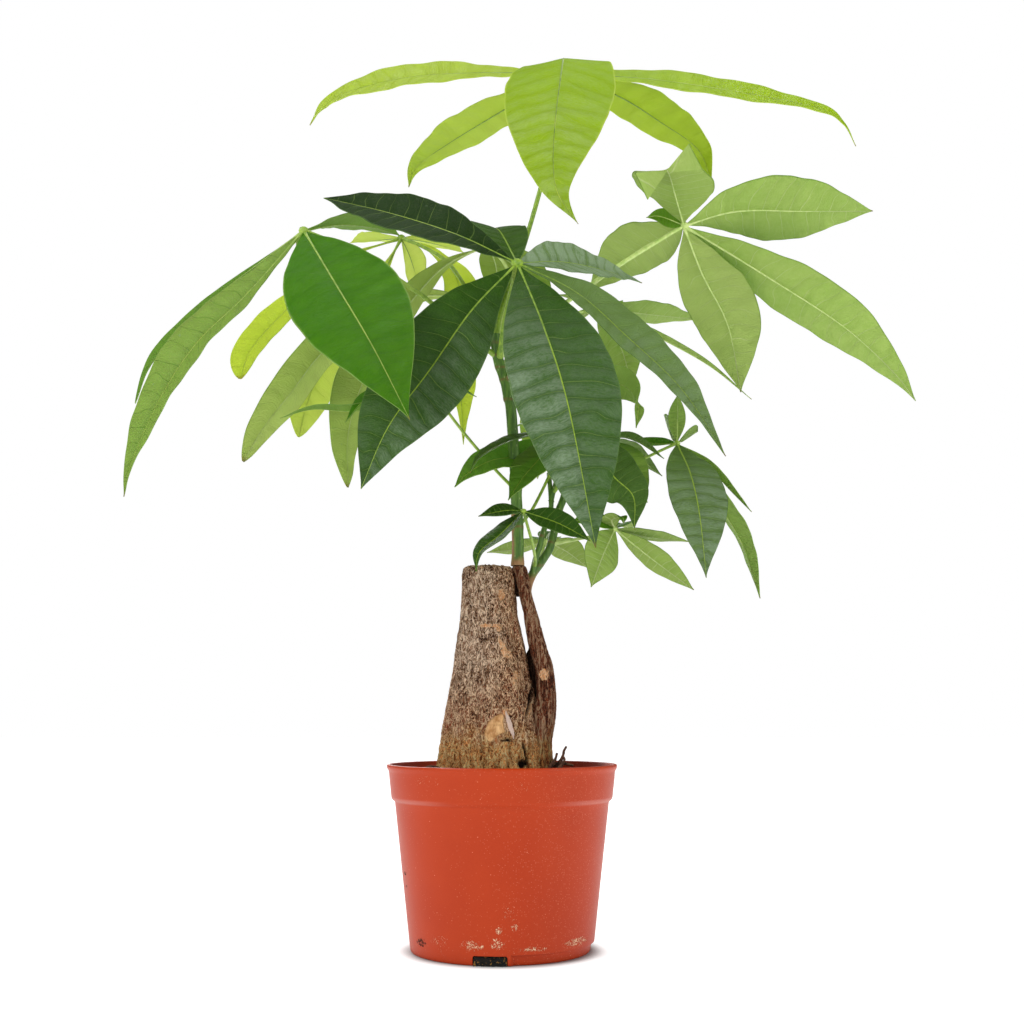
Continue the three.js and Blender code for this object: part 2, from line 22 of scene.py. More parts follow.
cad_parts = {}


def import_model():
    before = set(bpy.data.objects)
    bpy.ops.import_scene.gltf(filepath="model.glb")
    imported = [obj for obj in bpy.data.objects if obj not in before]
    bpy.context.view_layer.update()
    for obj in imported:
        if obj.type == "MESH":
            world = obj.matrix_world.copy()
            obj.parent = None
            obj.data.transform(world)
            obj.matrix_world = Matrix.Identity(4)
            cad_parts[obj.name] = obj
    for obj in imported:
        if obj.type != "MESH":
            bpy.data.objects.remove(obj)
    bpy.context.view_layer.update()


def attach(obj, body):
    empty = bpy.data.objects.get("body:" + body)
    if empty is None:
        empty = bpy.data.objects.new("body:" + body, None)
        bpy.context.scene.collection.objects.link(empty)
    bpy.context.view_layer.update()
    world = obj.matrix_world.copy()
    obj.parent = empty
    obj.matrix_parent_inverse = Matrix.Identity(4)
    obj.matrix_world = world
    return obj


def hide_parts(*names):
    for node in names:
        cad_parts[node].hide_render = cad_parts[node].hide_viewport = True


LOG = logging.getLogger("money_tree")
MM = 0.001
TURN = math.tau
UP = Vector((0, 0, 1))

Point = tuple[float, float, float]
Colour = tuple[float, float, float, float]
Taper = Callable[[float], float]


def paint(red: int, green: int, blue: int) -> Colour:
    """Turns a colour as seen on a screen, 0 to 255, into the linear colour that a shader takes.

    Args:
        red: Red part.
        green: Green part.
        blue: Blue part.

    Returns:
        The linear colour, with full alpha.
    """
    parts = []
    for part in (red, green, blue):
        share = part / 255
        parts.append(share / 12.92 if share <= 0.04045 else ((share + 0.055) / 1.055) ** 2.4)
    return (parts[0], parts[1], parts[2], 1.0)


def lerp(low: float, high: float, share: float) -> float:
    """Gives the value at a share of the way from low to high."""
    return low + (high - low) * share


def clamp(value: float, low: float = 0.0, high: float = 1.0) -> float:
    """Keeps a value between low and high."""
    return min(high, max(low, value))


def blend(first: Colour, second: Colour, share: float) -> Colour:
    """Mixes two colours by a share of the second."""
    return tuple(lerp(a, b, share) for a, b in zip(first, second))


def ease(low: float, high: float, value: float) -> float:
    """Gives a smooth step from 0 at low to 1 at high."""
    share = clamp((value - low) / (high - low))
    return share * share * (3 - 2 * share)


def curve(
    start: float | Vector, end: float | Vector, leave: float | Vector, arrive: float | Vector, share: float
) -> float | Vector:
    """Gives a place on the smooth curve between two places.

    Args:
        start: The first place.
        end: The last place.
        leave: The slope at the first.
        arrive: The slope at the last.
        share: How far from the first to the last.

    Returns:
        The place, a number or a vector as the others are.
    """
    square, cube = share**2, share**3
    near, far = 2 * cube - 3 * square + 1, 3 * square - 2 * cube
    return start * near + leave * (cube - 2 * square + share) + end * far + arrive * (cube - square)


def bell(distance: float, half: float) -> float:
    """Gives a smooth hump, 1 in the middle, that fades about half away from it."""
    return math.exp(-((distance / half) ** 2))


def wave(x: float, y: float, z: float) -> float:
    """Gives smooth noise, about -1 to 1, at a place."""
    return noise.noise(Vector((x, y, z)))


class Line:
    """A smooth line through points, walked by its own length."""

    SAMPLES = 200
    NUDGE = 1e-4

    def __init__(self, points: Iterable[Sequence[float]]) -> None:
        """Measures the line.

        Args:
            points: The points that it runs through.
        """
        self.points = [Vector(p) for p in points]
        self.marks = [0.0]
        last = self.raw(0)
        for i in range(1, self.SAMPLES + 1):
            here = self.raw(i / self.SAMPLES)
            self.marks.append(self.marks[-1] + (here - last).length)
            last = here
        self.length = self.marks[-1]

    def raw(self, share: float) -> Vector:
        """Gives a point of the line.

        Args:
            share: How far through the spans, each counted as equally long.

        Returns:
            The point.
        """
        p = self.points
        place = share * (len(p) - 1)
        i = min(int(place), len(p) - 2)
        before = p[i - 1] if i > 0 else p[0] * 2 - p[1]
        after = p[i + 2] if i + 2 < len(p) else p[-1] * 2 - p[-2]
        start, end = p[i], p[i + 1]
        return curve(start, end, (end - before) / 2, (after - start) / 2, place - i)

    def at(self, share: float) -> tuple[Vector, Vector]:
        """Gives a place on the line.

        Args:
            share: How far along, as a share of the length.

        Returns:
            The point and the direction there.
        """
        goal = clamp(share) * self.length
        low, high = 0, self.SAMPLES
        while high - low > 1:
            middle = (low + high) // 2
            if self.marks[middle] <= goal:
                low = middle
            else:
                high = middle
        span = self.marks[high] - self.marks[low]
        place = (low + (goal - self.marks[low]) / span) / self.SAMPLES
        back, on = max(place - self.NUDGE, 0), min(place + self.NUDGE, 1)
        return self.raw(place), (self.raw(on) - self.raw(back)).normalized()

    def upright(self, share: float, across: Vector) -> tuple[Vector, Vector, Vector]:
        """Gives a frame on the line.

        Args:
            share: How far along, as a share of the length.
            across: The direction that its side keeps closest to.

        Returns:
            The point, the direction of the side and that of the upper side there.
        """
        middle, along = self.at(share)
        side = (across - along * across.dot(along)).normalized()
        return middle, side, side.cross(along)


class Bench:
    """The modelling steps that the pieces share, done with Blender's own operators."""

    @staticmethod
    def clear() -> None:
        """Deselects every object."""
        bpy.ops.object.select_all(action="DESELECT")

    @staticmethod
    def pick(*pieces: Object) -> None:
        """Selects these pieces alone, and makes the first the active one."""
        Bench.clear()
        for piece in pieces:
            piece.select_set(True)
        bpy.context.view_layer.objects.active = pieces[0]

    @staticmethod
    @contextmanager
    def editing() -> Iterator[None]:
        """Opens edit mode with everything selected, and closes it afterwards."""
        bpy.ops.object.mode_set(mode="EDIT")
        bpy.ops.mesh.select_all(action="SELECT")
        yield
        bpy.ops.object.mode_set(mode="OBJECT")

    @staticmethod
    def link(name: str, data: ID) -> Object:
        """Adds an object with that data to the scene."""
        piece = bpy.data.objects.new(name, data)
        bpy.context.scene.collection.objects.link(piece)
        return piece

    @staticmethod
    def made(name: str) -> Object:
        """Names the object that was just added, and gives it back."""
        piece = bpy.context.object
        piece.name = name
        piece.data.name = name
        return piece

    @staticmethod
    def finish(piece: Object, kind: str, **settings: object) -> None:
        """Adds a modifier and applies it.

        Args:
            piece: The piece to change.
            kind: The modifier's type.
            settings: The modifier's own settings.
        """
        Bench.pick(piece)
        modifier = piece.modifiers.new(kind.title(), kind)
        for key, value in settings.items():
            setattr(modifier, key, value)
        bpy.ops.object.modifier_apply(modifier=modifier.name)

    @staticmethod
    def smooth(piece: Object, angle: float) -> None:
        """Shades a piece smooth, apart from edges sharper than the angle."""
        Bench.pick(piece)
        bpy.ops.object.shade_smooth_by_angle(angle=math.radians(angle))

    @staticmethod
    def join(name: str, pieces: Sequence[Object]) -> Object:
        """Joins pieces into one.

        Args:
            name: Name of the whole.
            pieces: The pieces; the first keeps its material slots.

        Returns:
            The whole.
        """
        Bench.pick(*pieces)
        if len(pieces) > 1:
            bpy.ops.object.join()
        return Bench.made(name)

    @staticmethod
    def place(piece: Object, points: Sequence[Vector]) -> None:
        """Moves every vertex to its new place, given in millimetres."""
        flat = [part * MM for point in points for part in point]
        piece.data.vertices.foreach_set("co", flat)
        piece.data.update()

    @staticmethod
    def mark(piece: Object, name: str, values: Sequence[Sequence[float]]) -> None:
        """Writes three numbers for each vertex into an attribute that the materials read."""
        made = piece.data.attributes.new(name, "FLOAT_VECTOR", "POINT")
        made.data.foreach_set("vector", [part for value in values for part in value])

    @staticmethod
    def copy(name: str, blank: Object) -> Object:
        """Copies a blank with a mesh of its own."""
        return Bench.link(name, blank.data.copy())

    @staticmethod
    def drop(piece: Object) -> None:
        """Deletes an object that was only a tool or a blank."""
        mesh = piece.data
        bpy.data.objects.remove(piece)
        bpy.data.meshes.remove(mesh)

    @staticmethod
    def close(piece: Object) -> None:
        """Merges doubles and turns every face outwards."""
        Bench.pick(piece)
        with Bench.editing():
            bpy.ops.mesh.remove_doubles(threshold=1e-6)
            bpy.ops.mesh.normals_make_consistent(inside=False)

    @staticmethod
    def sheet(name: str, columns: int, rows: int) -> Object:
        """Makes a flat grid that runs from -1 to 1 both ways."""
        Bench.clear()
        bpy.ops.mesh.primitive_grid_add(x_subdivisions=columns, y_subdivisions=rows, size=2)
        return Bench.made(name)

    @staticmethod
    def rod(name: str, sides: int, rows: int) -> Object:
        """Makes a rod of radius 1 from height 0 to 1, cut across into rows, with both ends closed.

        Args:
            name: Name of the rod.
            sides: Faces around it.
            rows: Faces along it.

        Returns:
            The rod.
        """
        Bench.clear()
        bpy.ops.mesh.primitive_cylinder_add(vertices=sides, radius=1, depth=1, location=(0, 0, 0.5))
        rod = Bench.made(name)
        bpy.ops.object.transform_apply(location=True)
        mesh = bmesh.new()
        mesh.from_mesh(rod.data)
        uprights = [e for e in mesh.edges if abs(e.verts[0].co.z - e.verts[1].co.z) > 0.5]
        bmesh.ops.subdivide_edges(mesh, edges=uprights, cuts=rows - 1, use_grid_fill=True)
        mesh.to_mesh(rod.data)
        mesh.free()
        return rod

    @staticmethod
    def turned(name: str, profile: Sequence[tuple[float, float]], steps: int) -> Object:
        """Turns a profile round the pot's axis.

        Args:
            name: Name of the piece.
            profile: Radius and height of each point, in millimetres, from axis to axis.
            steps: Faces around it.

        Returns:
            The closed piece.
        """
        Bench.clear()
        bpy.ops.mesh.primitive_plane_add(size=MM)
        piece = Bench.made(name)
        with Bench.editing():
            bpy.ops.mesh.merge(type="CENTER")
            radius, height = profile[0]
            bpy.ops.transform.translate(value=(radius * MM, 0, height * MM))
            for (r0, z0), (r1, z1) in zip(profile, profile[1:]):
                move = ((r1 - r0) * MM, 0, (z1 - z0) * MM)
                bpy.ops.mesh.extrude_vertices_move(TRANSFORM_OT_translate={"value": move})
            bpy.ops.mesh.select_all(action="SELECT")
            bpy.ops.mesh.spin(steps=steps, angle=TURN, center=(0, 0, 0), axis=(0, 0, 1))
        Bench.close(piece)
        return piece

    @staticmethod
    def tube(
        name: str,
        line: Line,
        radius: Taper,
        sides: int,
        rows: int,
        bulge: Callable[[Vector, float], float] | None = None,
    ) -> Object:
        """Bends a rod along a line.

        Args:
            name: Name of the tube.
            line: The line that it follows, in millimetres.
            radius: Gives the radius at a share of the length.
            sides: Faces around it.
            rows: Faces along it.
            bulge: Gives a further height of the skin, in millimetres, at a point of it and a share.

        Returns:
            The tube.
        """
        piece = Bench.rod(name, sides, rows)
        frames = []
        across = line.at(0)[1].orthogonal()
        for i in range(rows + 1):
            middle, along = line.at(i / rows)
            across = (across - along * across.dot(along)).normalized()
            frames.append((middle, across, along.cross(across)))
        points = []
        for vertex in piece.data.vertices:
            x, y, z = vertex.co
            middle, first, second = frames[round(z * rows)]
            out = first * x + second * y
            point = middle + out * radius(z)
            if bulge is not None:
                point += out * bulge(point, z)
            points.append(point)
        Bench.place(piece, points)
        return piece


class Value:
    """A number, colour or vector that flows through a material's nodes."""

    def __init__(self, tree: Tree, socket: NodeSocket) -> None:
        """Wraps a socket of the tree."""
        self.tree = tree
        self.socket = socket

    def __add__(self, other: Value | float) -> Value:
        """Adds."""
        return self.tree.math("ADD", self, other)

    def __radd__(self, other: float) -> Value:
        """Adds."""
        return self.tree.math("ADD", other, self)

    def __sub__(self, other: Value | float) -> Value:
        """Subtracts."""
        return self.tree.math("SUBTRACT", self, other)

    def __rsub__(self, other: float) -> Value:
        """Subtracts from a number."""
        return self.tree.math("SUBTRACT", other, self)

    def __mul__(self, other: Value | float) -> Value:
        """Multiplies."""
        return self.tree.math("MULTIPLY", self, other)

    def __rmul__(self, other: float) -> Value:
        """Multiplies."""
        return self.tree.math("MULTIPLY", other, self)

    def __truediv__(self, other: Value | float) -> Value:
        """Divides."""
        return self.tree.math("DIVIDE", self, other)

    def __gt__(self, other: Value | float) -> Value:
        """Gives 1 where this is greater, else 0."""
        return self.tree.math("GREATER_THAN", self, other)

    def __abs__(self) -> Value:
        """Drops the sign."""
        return self.tree.math("ABSOLUTE", self)

    def high(self, other: Value | float) -> Value:
        """Gives the greater of the two."""
        return self.tree.math("MAXIMUM", self, other)

    def step(self, low: Value | float, high: Value | float) -> Value:
        """Gives a smooth step from 0 at low to 1 at high; low may be the greater."""
        settings = {"interpolation_type": "SMOOTHSTEP"}
        sockets = {"Value": self, "From Min": low, "From Max": high}
        return self.tree.value("ShaderNodeMapRange", settings, sockets)


Input = Value | float | Sequence[float]


class Tree:
    """A material, or the surround of the scene, under construction."""

    def __init__(self, name: str, surround: bool = False) -> None:
        """Starts an empty one.

        Args:
            name: Its name.
            surround: Whether it is the surround of the scene and not a material.
        """
        shelf = bpy.data.worlds if surround else bpy.data.materials
        self.owner = shelf.new(name)
        self.owner.use_nodes = True
        self.nodes = self.owner.node_tree.nodes
        self.links = self.owner.node_tree.links
        self.nodes.clear()

    def node(
        self,
        kind: str,
        settings: dict[str, object] | None = None,
        sockets: dict[str | int, Input] | None = None,
    ) -> Node:
        """Adds a node.

        Args:
            kind: The node's type.
            settings: Its settings, set first.
            sockets: The values or links of its sockets.

        Returns:
            The node.
        """
        made = self.nodes.new(kind)
        for key, value in (settings or {}).items():
            setattr(made, key, value)
        for key, value in (sockets or {}).items():
            if isinstance(value, Value):
                self.links.new(value.socket, made.inputs[key])
            else:
                made.inputs[key].default_value = value
        return made

    def value(
        self,
        kind: str,
        settings: dict[str, object] | None = None,
        sockets: dict[str | int, Input] | None = None,
        out: str | int = 0,
    ) -> Value:
        """Adds a node and gives one of its outputs.

        Args:
            kind: The node's type.
            settings: Its settings.
            sockets: The values or links of its sockets.
            out: The output, by name or number.

        Returns:
            The output's value.
        """
        return Value(self, self.node(kind, settings, sockets).outputs[out])

    def math(self, operation: str, first: Input, second: Input = 0.0) -> Value:
        """Adds a Math node."""
        return self.value("ShaderNodeMath", {"operation": operation}, {0: first, 1: second})

    def mix(self, share: Input, first: Input, second: Input) -> Value:
        """Mixes two colours by a share."""
        return self.value("ShaderNodeMix", {"data_type": "RGBA"}, {0: share, 6: first, 7: second}, 2)

    def attribute(self, name: str) -> tuple[Value, Value, Value]:
        """Gives the three numbers of a piece's own attribute."""
        vector = self.value("ShaderNodeAttribute", {"attribute_name": name}, out="Vector")
        return self.split(vector)

    def split(self, vector: Value) -> tuple[Value, Value, Value]:
        """Splits a vector into its three numbers."""
        parts = self.node("ShaderNodeSeparateXYZ", None, {0: vector})
        return Value(self, parts.outputs[0]), Value(self, parts.outputs[1]), Value(self, parts.outputs[2])

    def vector(self, x: Input, y: Input, z: Input) -> Value:
        """Puts three numbers together as a vector."""
        return self.value("ShaderNodeCombineXYZ", None, {0: x, 1: y, 2: z})

    def place(self, stretch: Point = (1, 1, 1), move: Point = (0, 0, 0)) -> Value:
        """Gives the place on the piece in metres, stretched and moved."""
        coordinates = self.value("ShaderNodeTexCoord", out="Object")
        if stretch == (1, 1, 1) and move == (0, 0, 0):
            return coordinates
        return self.value("ShaderNodeMapping", None, {"Vector": coordinates, "Scale": stretch, "Location": move})

    def noise(self, place: Value, scale: float, detail: float = 3, rough: float = 0.5, warp: float = 0) -> Value:
        """Gives noise from 0 to 1; scale is in waves per metre."""
        sockets = {"Vector": place, "Scale": scale, "Detail": detail, "Roughness": rough, "Distortion": warp}
        return self.value("ShaderNodeTexNoise", None, sockets)

    def cells(self, place: Value, scale: float, feature: str = "F1", out: str | int = 0) -> Value:
        """Gives a pattern of cells; scale is in cells per metre."""
        return self.value("ShaderNodeTexVoronoi", {"feature": feature}, {"Vector": place, "Scale": scale}, out)

    def bump(self, height: Value) -> Value:
        """Gives a normal for a height in metres."""
        return self.value("ShaderNodeBump", None, {"Strength": 1.0, "Distance": 1.0, "Height": height})

    def surface(self, base: Value, rough: Input, height: Value, gloss: float = 0.5) -> Value:
        """Gives the shader of a plain, opaque surface.

        Args:
            base: Its colour.
            rough: Its roughness.
            height: Its relief, in metres.
            gloss: How strongly it mirrors; 0.5 is the shader's own.

        Returns:
            The shader.
        """
        sockets = {"Base Color": base, "Roughness": rough, "Normal": self.bump(height), "Specular IOR Level": gloss}
        return self.value("ShaderNodeBsdfPrincipled", None, sockets)

    def finish(self, shader: Value, output: str = "ShaderNodeOutputMaterial") -> ID:
        """Links the shader to the output and gives the finished material or surround."""
        self.node(output, None, {"Surface": shader})
        return self.owner


def wear(piece: Object, *materials: Material) -> None:
    """Gives a piece its materials, in slot order."""
    piece.data.materials.clear()
    for material in materials:
        piece.data.materials.append(material)


def settle(piece: Object, slot: str, *nodes: str) -> None:
    """Hands a finished piece to the frame.

    Args:
        piece: The piece.
        slot: The record's material slot; not used.
        nodes: The CAD nodes that it stands for.
    """
    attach(piece, "root")
    if nodes:
        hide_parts(*nodes)
    LOG.info("%s: %d faces", piece.name, len(piece.data.polygons))


# ---------- pot ----------


@dataclass(frozen=True)
class PotPlastic:
    """Satin terracotta-coloured plastic with pale specks, limescale and dirt near the foot, and a painted highlight
    along the ledge.
    """

    colour: Colour = paint(182, 58, 12)
    deep: Colour = paint(172, 51, 8)
    speck: Colour = paint(238, 152, 120)
    lime: Colour = paint(250, 220, 180)
    dirt: Colour = paint(52, 26, 16)
    # Colour of the painted highlight along the ledge
    painted_ledge_highlight: Colour = paint(206, 150, 140)
    rough: float = 0.4
    gloss: float = 0.22
    speck_scale: float = 1500
    dot_scale: float = 800
    # Stains on the front: middle x and z, half width and half height in metres, and strength
    crusts: tuple[tuple[float, ...], ...] = (
        (0.0065, 0.0185, 0.0022, 0.0022, 1.0), (-0.001, 0.0168, 0.0024, 0.0024, 1.0),
        (-0.002, 0.0108, 0.0042, 0.0034, 0.9), (-0.0145, 0.0095, 0.0072, 0.0032, 0.9),
        (-0.03, 0.0105, 0.0056, 0.0034, 0.6), (0.016, 0.0078, 0.009, 0.0016, 0.85),
        (0.037, 0.009, 0.0075, 0.0026, 0.95), (0.004, 0.025, 0.004, 0.006, 0.45),
        (0.0105, 0.0845, 0.004, 0.004, 0.45), (-0.036, 0.087, 0.009, 0.0035, 0.4),
    )
    crumbs: tuple[tuple[float, ...], ...] = (
        (-0.0395, 0.008, 0.0042, 0.0036, 1.0), (-0.0425, 0.0175, 0.0024, 0.0024, 0.9),
        (-0.0485, 0.04, 0.0016, 0.0016, 1.0), (-0.048, 0.0335, 0.0012, 0.0012, 1.0),
    )

    @staticmethod
    def stains(x: Value, z: Value, front: Value, spots: tuple[tuple[float, ...], ...]) -> Value:
        """Adds up oval stains.

        Args:
            x: The place's x.
            z: The place's height.
            front: How much of the stains shows here.
            spots: Middle x and z, half width, half height and strength of each.

        Returns:
            How stained the place is, 0 to 1.
        """
        whole: Value | float = 0.0
        for middle, height, wide, tall, strong in spots:
            across = (x - middle) * (1 / wide)
            along = (z - height) * (1 / tall)
            whole = (across * across + along * along).step(1.3, 0.1) * strong + whole
        return whole * front

    def dress(self) -> Material:
        """Makes the material."""
        tree = Tree("pot_plastic")
        place = tree.place()
        x, y, z = tree.split(place)
        front = y.step(-0.005, -0.015)
        cloud = tree.noise(place, 30, 2, 0.5)
        grain = tree.noise(place, 2600, 2, 0.6)
        base = tree.mix(cloud.step(0.3, 0.7) * 0.5 + grain.step(0.35, 0.65) * 0.5, self.colour, self.deep)
        drift = tree.noise(place, 60, 3, 0.6)
        dense = x.step(-0.03, 0.045) * 0.3 + drift.step(0.45, 0.75) * 0.12 + 0.03
        chance, _, _ = tree.split(tree.cells(place, self.speck_scale, out="Color"))
        specks = (1 - tree.cells(place, self.speck_scale).step(0.18, 0.42)) * chance.step(1 - dense, 1.02 - dense)
        base = tree.mix(specks * 0.26, base, self.speck)
        rare, _, _ = tree.split(tree.cells(place, self.dot_scale, out="Color"))
        dots = (1 - tree.cells(place, self.dot_scale).step(0.1, 0.24)) * rare.step(0.975, 0.985)
        base = tree.mix(dots * 0.7, base, self.speck)
        crust = tree.noise(place, 620, 5, 0.75, 1.4)
        stain = self.stains(x, z, front, self.crusts)
        foot = z.step(0.018, 0.005) * tree.noise(place, 95, 2, 0.5).step(0.5, 0.62) * 0.45
        lime = (crust + stain.high(foot) * 0.2).step(0.68, 0.76) * stain.high(foot).step(0.05, 0.3)
        base = tree.mix(lime * 0.8, base, self.lime)
        clods = tree.noise(tree.place(move=(0.3, 0.1, 0.7)), 520, 3, 0.6)
        dirt = (clods * 0.6 + self.stains(x, z, front, self.crumbs) * 0.5).step(0.76, 0.84)
        base = tree.mix(dirt * 0.95, base, self.dirt)
        # Painted highlight: a pale line along the rounded underside of the ledge, towards the left and right
        edge = z.step(0.0746, 0.0756) * z.step(0.0778, 0.0766) * abs(x).step(0.022, 0.045)
        base = tree.mix(edge * 0.25, base, self.painted_ledge_highlight)
        height = grain * 0.00003 + lime * 0.0001 + dirt * 0.0002 + specks * 0.00002
        rough = self.rough + lime * 0.35 + dirt * 0.4 + drift * 0.08
        return tree.finish(tree.surface(base, rough, height, self.gloss))


@dataclass
class Pot:
    """The moulded nursery pot, with notches and a shallow step in its foot."""

    height: float = 93.7
    rim_radius: float = 60
    ledge: float = 75
    shoulder_radius: float = 55.7
    foot_radius: float = 46.8
    wall: float = 1.8
    floor: float = 2.4
    steps: int = 192
    notch_width: float = 17
    notch_height: float = 4.9
    notch_reach: float = 12
    notch_turn: float = -96.6
    notches: int = 3
    notch_overrun: float = 3
    notch_round: float = 1.1
    relief_depth: float = 1.5
    relief_height: float = 5.2
    relief_from: float = -84
    relief_to: float = 19
    relief_band: float = 1.4
    crease: float = 32
    finish: PotPlastic = PotPlastic()

    def side_radius(self, z: float) -> float:
        """Gives the outer radius of the tapered side at a height."""
        return lerp(self.foot_radius, self.shoulder_radius, z / self.ledge)

    def inner_radius(self, z: float) -> float:
        """Gives the radius inside the pot at a height."""
        if z < self.ledge:
            return self.side_radius(z) - self.wall
        share = (z - self.ledge) / (self.height - self.ledge)
        return lerp(self.shoulder_radius - self.wall, self.rim_radius - self.wall - 0.6, share)

    def profile(self) -> list[tuple[float, float]]:
        """Gives the outline from the axis under the floor, up outside and down inside."""
        foot, rim, top, ledge = self.foot_radius, self.rim_radius, self.height, self.ledge
        outside = [(0.0, 0.0), (20, 0), (foot - 1.3, 0), (foot - 0.55, 0.18), (foot - 0.15, 0.55), (foot + 0.1, 1.1)]
        step = self.relief_height
        outside += [(self.side_radius(z), z) for z in (2.2, 3.4, step - 0.25, step + 0.1)]
        outside += [(self.side_radius(z), z) for z in (12, 24, 36, 48, 60, 70, ledge - 0.5)]
        outside += [(56.0, ledge + 0.15), (56.9, ledge + 0.75), (57.45, ledge + 1.5), (57.65, ledge + 2.6)]
        outside += [(58.2, 82.5), (58.7, 87), (58.9, 89.6), (59.15, 90.6), (59.8, 91.6), (rim, 92.2)]
        lip = [(rim, top - 0.55), (rim - 0.2, top - 0.15), (rim - 0.6, top), (rim - 1.6, top)]
        lip += [(rim - 2.1, top - 0.15), (rim - 2.35, top - 0.6)]
        inside = [(self.inner_radius(z), z) for z in (88, 82, 77, ledge, 60, 40, 20, 8, self.floor + 0.6)]
        inside += [(self.inner_radius(self.floor) - 0.6, self.floor), (20, self.floor), (0.0, self.floor)]
        return outside + lip + inside

    def notch_turns(self) -> list[float]:
        """Gives the direction of each notch, in radians."""
        return [math.radians(self.notch_turn) + i * TURN / self.notches for i in range(self.notches)]

    def press_relief(self, pot: Object) -> None:
        """Presses the shallow step into part of the foot.

        Args:
            pot: The turned pot.
        """
        for vertex in pot.data.vertices:
            x, y, z = vertex.co / MM
            radius = math.hypot(x, y)
            angle = math.degrees(math.atan2(y, x))
            outer = radius > self.side_radius(z) - self.relief_band
            if outer and z < self.relief_height and self.relief_from < angle < self.relief_to:
                share = (radius - self.relief_depth) / radius
                vertex.co.x *= share
                vertex.co.y *= share

    def cut_notches(self, pot: Object) -> None:
        """Cuts the notches into the foot.

        Args:
            pot: The turned pot.
        """
        over = self.notch_overrun
        reach = self.foot_radius + over - self.notch_reach / 2
        size = Vector((self.notch_reach, self.notch_width, self.notch_height + over)) * MM
        for turn in self.notch_turns():
            middle = Vector((math.cos(turn) * reach, math.sin(turn) * reach, (self.notch_height - over) / 2)) * MM
            Bench.clear()
            bpy.ops.mesh.primitive_cube_add(size=1, location=middle, rotation=(0, 0, turn), scale=size)
            cutter = Bench.made("notch_cutter")
            bpy.ops.object.transform_apply(location=False, rotation=False, scale=True)
            Bench.finish(cutter, "BEVEL", width=self.notch_round * MM, segments=4)
            Bench.finish(pot, "BOOLEAN", operation="DIFFERENCE", object=cutter, solver="EXACT")
            Bench.drop(cutter)

    def build(self) -> None:
        """Builds and dresses the pot."""
        pot = Bench.turned("nursery_pot", self.profile(), self.steps)
        self.press_relief(pot)
        self.cut_notches(pot)
        Bench.smooth(pot, self.crease)
        wear(pot, self.finish.dress())
        settle(pot, "pot", "pot")


# ---------- soil ----------


@dataclass(frozen=True)
class Earth:
    """Dark, damp, crumbly potting soil."""

    name: str = "potting_soil"
    colour: Colour = paint(58, 40, 28)
    dark: Colour = paint(22, 15, 11)
    pale: Colour = paint(120, 88, 60)
    flecked: float = 0.64
    rough: float = 0.95

    def dress(self) -> Material:
        """Makes the material."""
        tree = Tree(self.name)
        place = tree.place()
        lumps = tree.noise(place, 260, 6, 0.7, 0.6)
        fine = tree.cells(place, 1100)
        base = tree.mix(lumps.step(0.35, 0.7), self.dark, self.colour)
        flecks = tree.noise(place, 700, 2, 0.5).step(self.flecked, self.flecked + 0.06)
        base = tree.mix(flecks * 0.7, base, self.pale)
        return tree.finish(tree.surface(base, self.rough, lumps * 0.0016 + fine * 0.0003))


@dataclass(frozen=True)
class DryFibre:
    """Dry roots and twig bits that lie in the soil."""

    name: str
    colour: Colour
    dark: Colour
    rough: float = 0.85

    def dress(self) -> Material:
        """Makes the material."""
        tree = Tree(self.name)
        streaks = tree.noise(tree.place(), 900, 3, 0.6)
        base = tree.mix(streaks.step(0.3, 0.7), self.dark, self.colour)
        return tree.finish(tree.surface(base, self.rough, streaks * 0.0002))


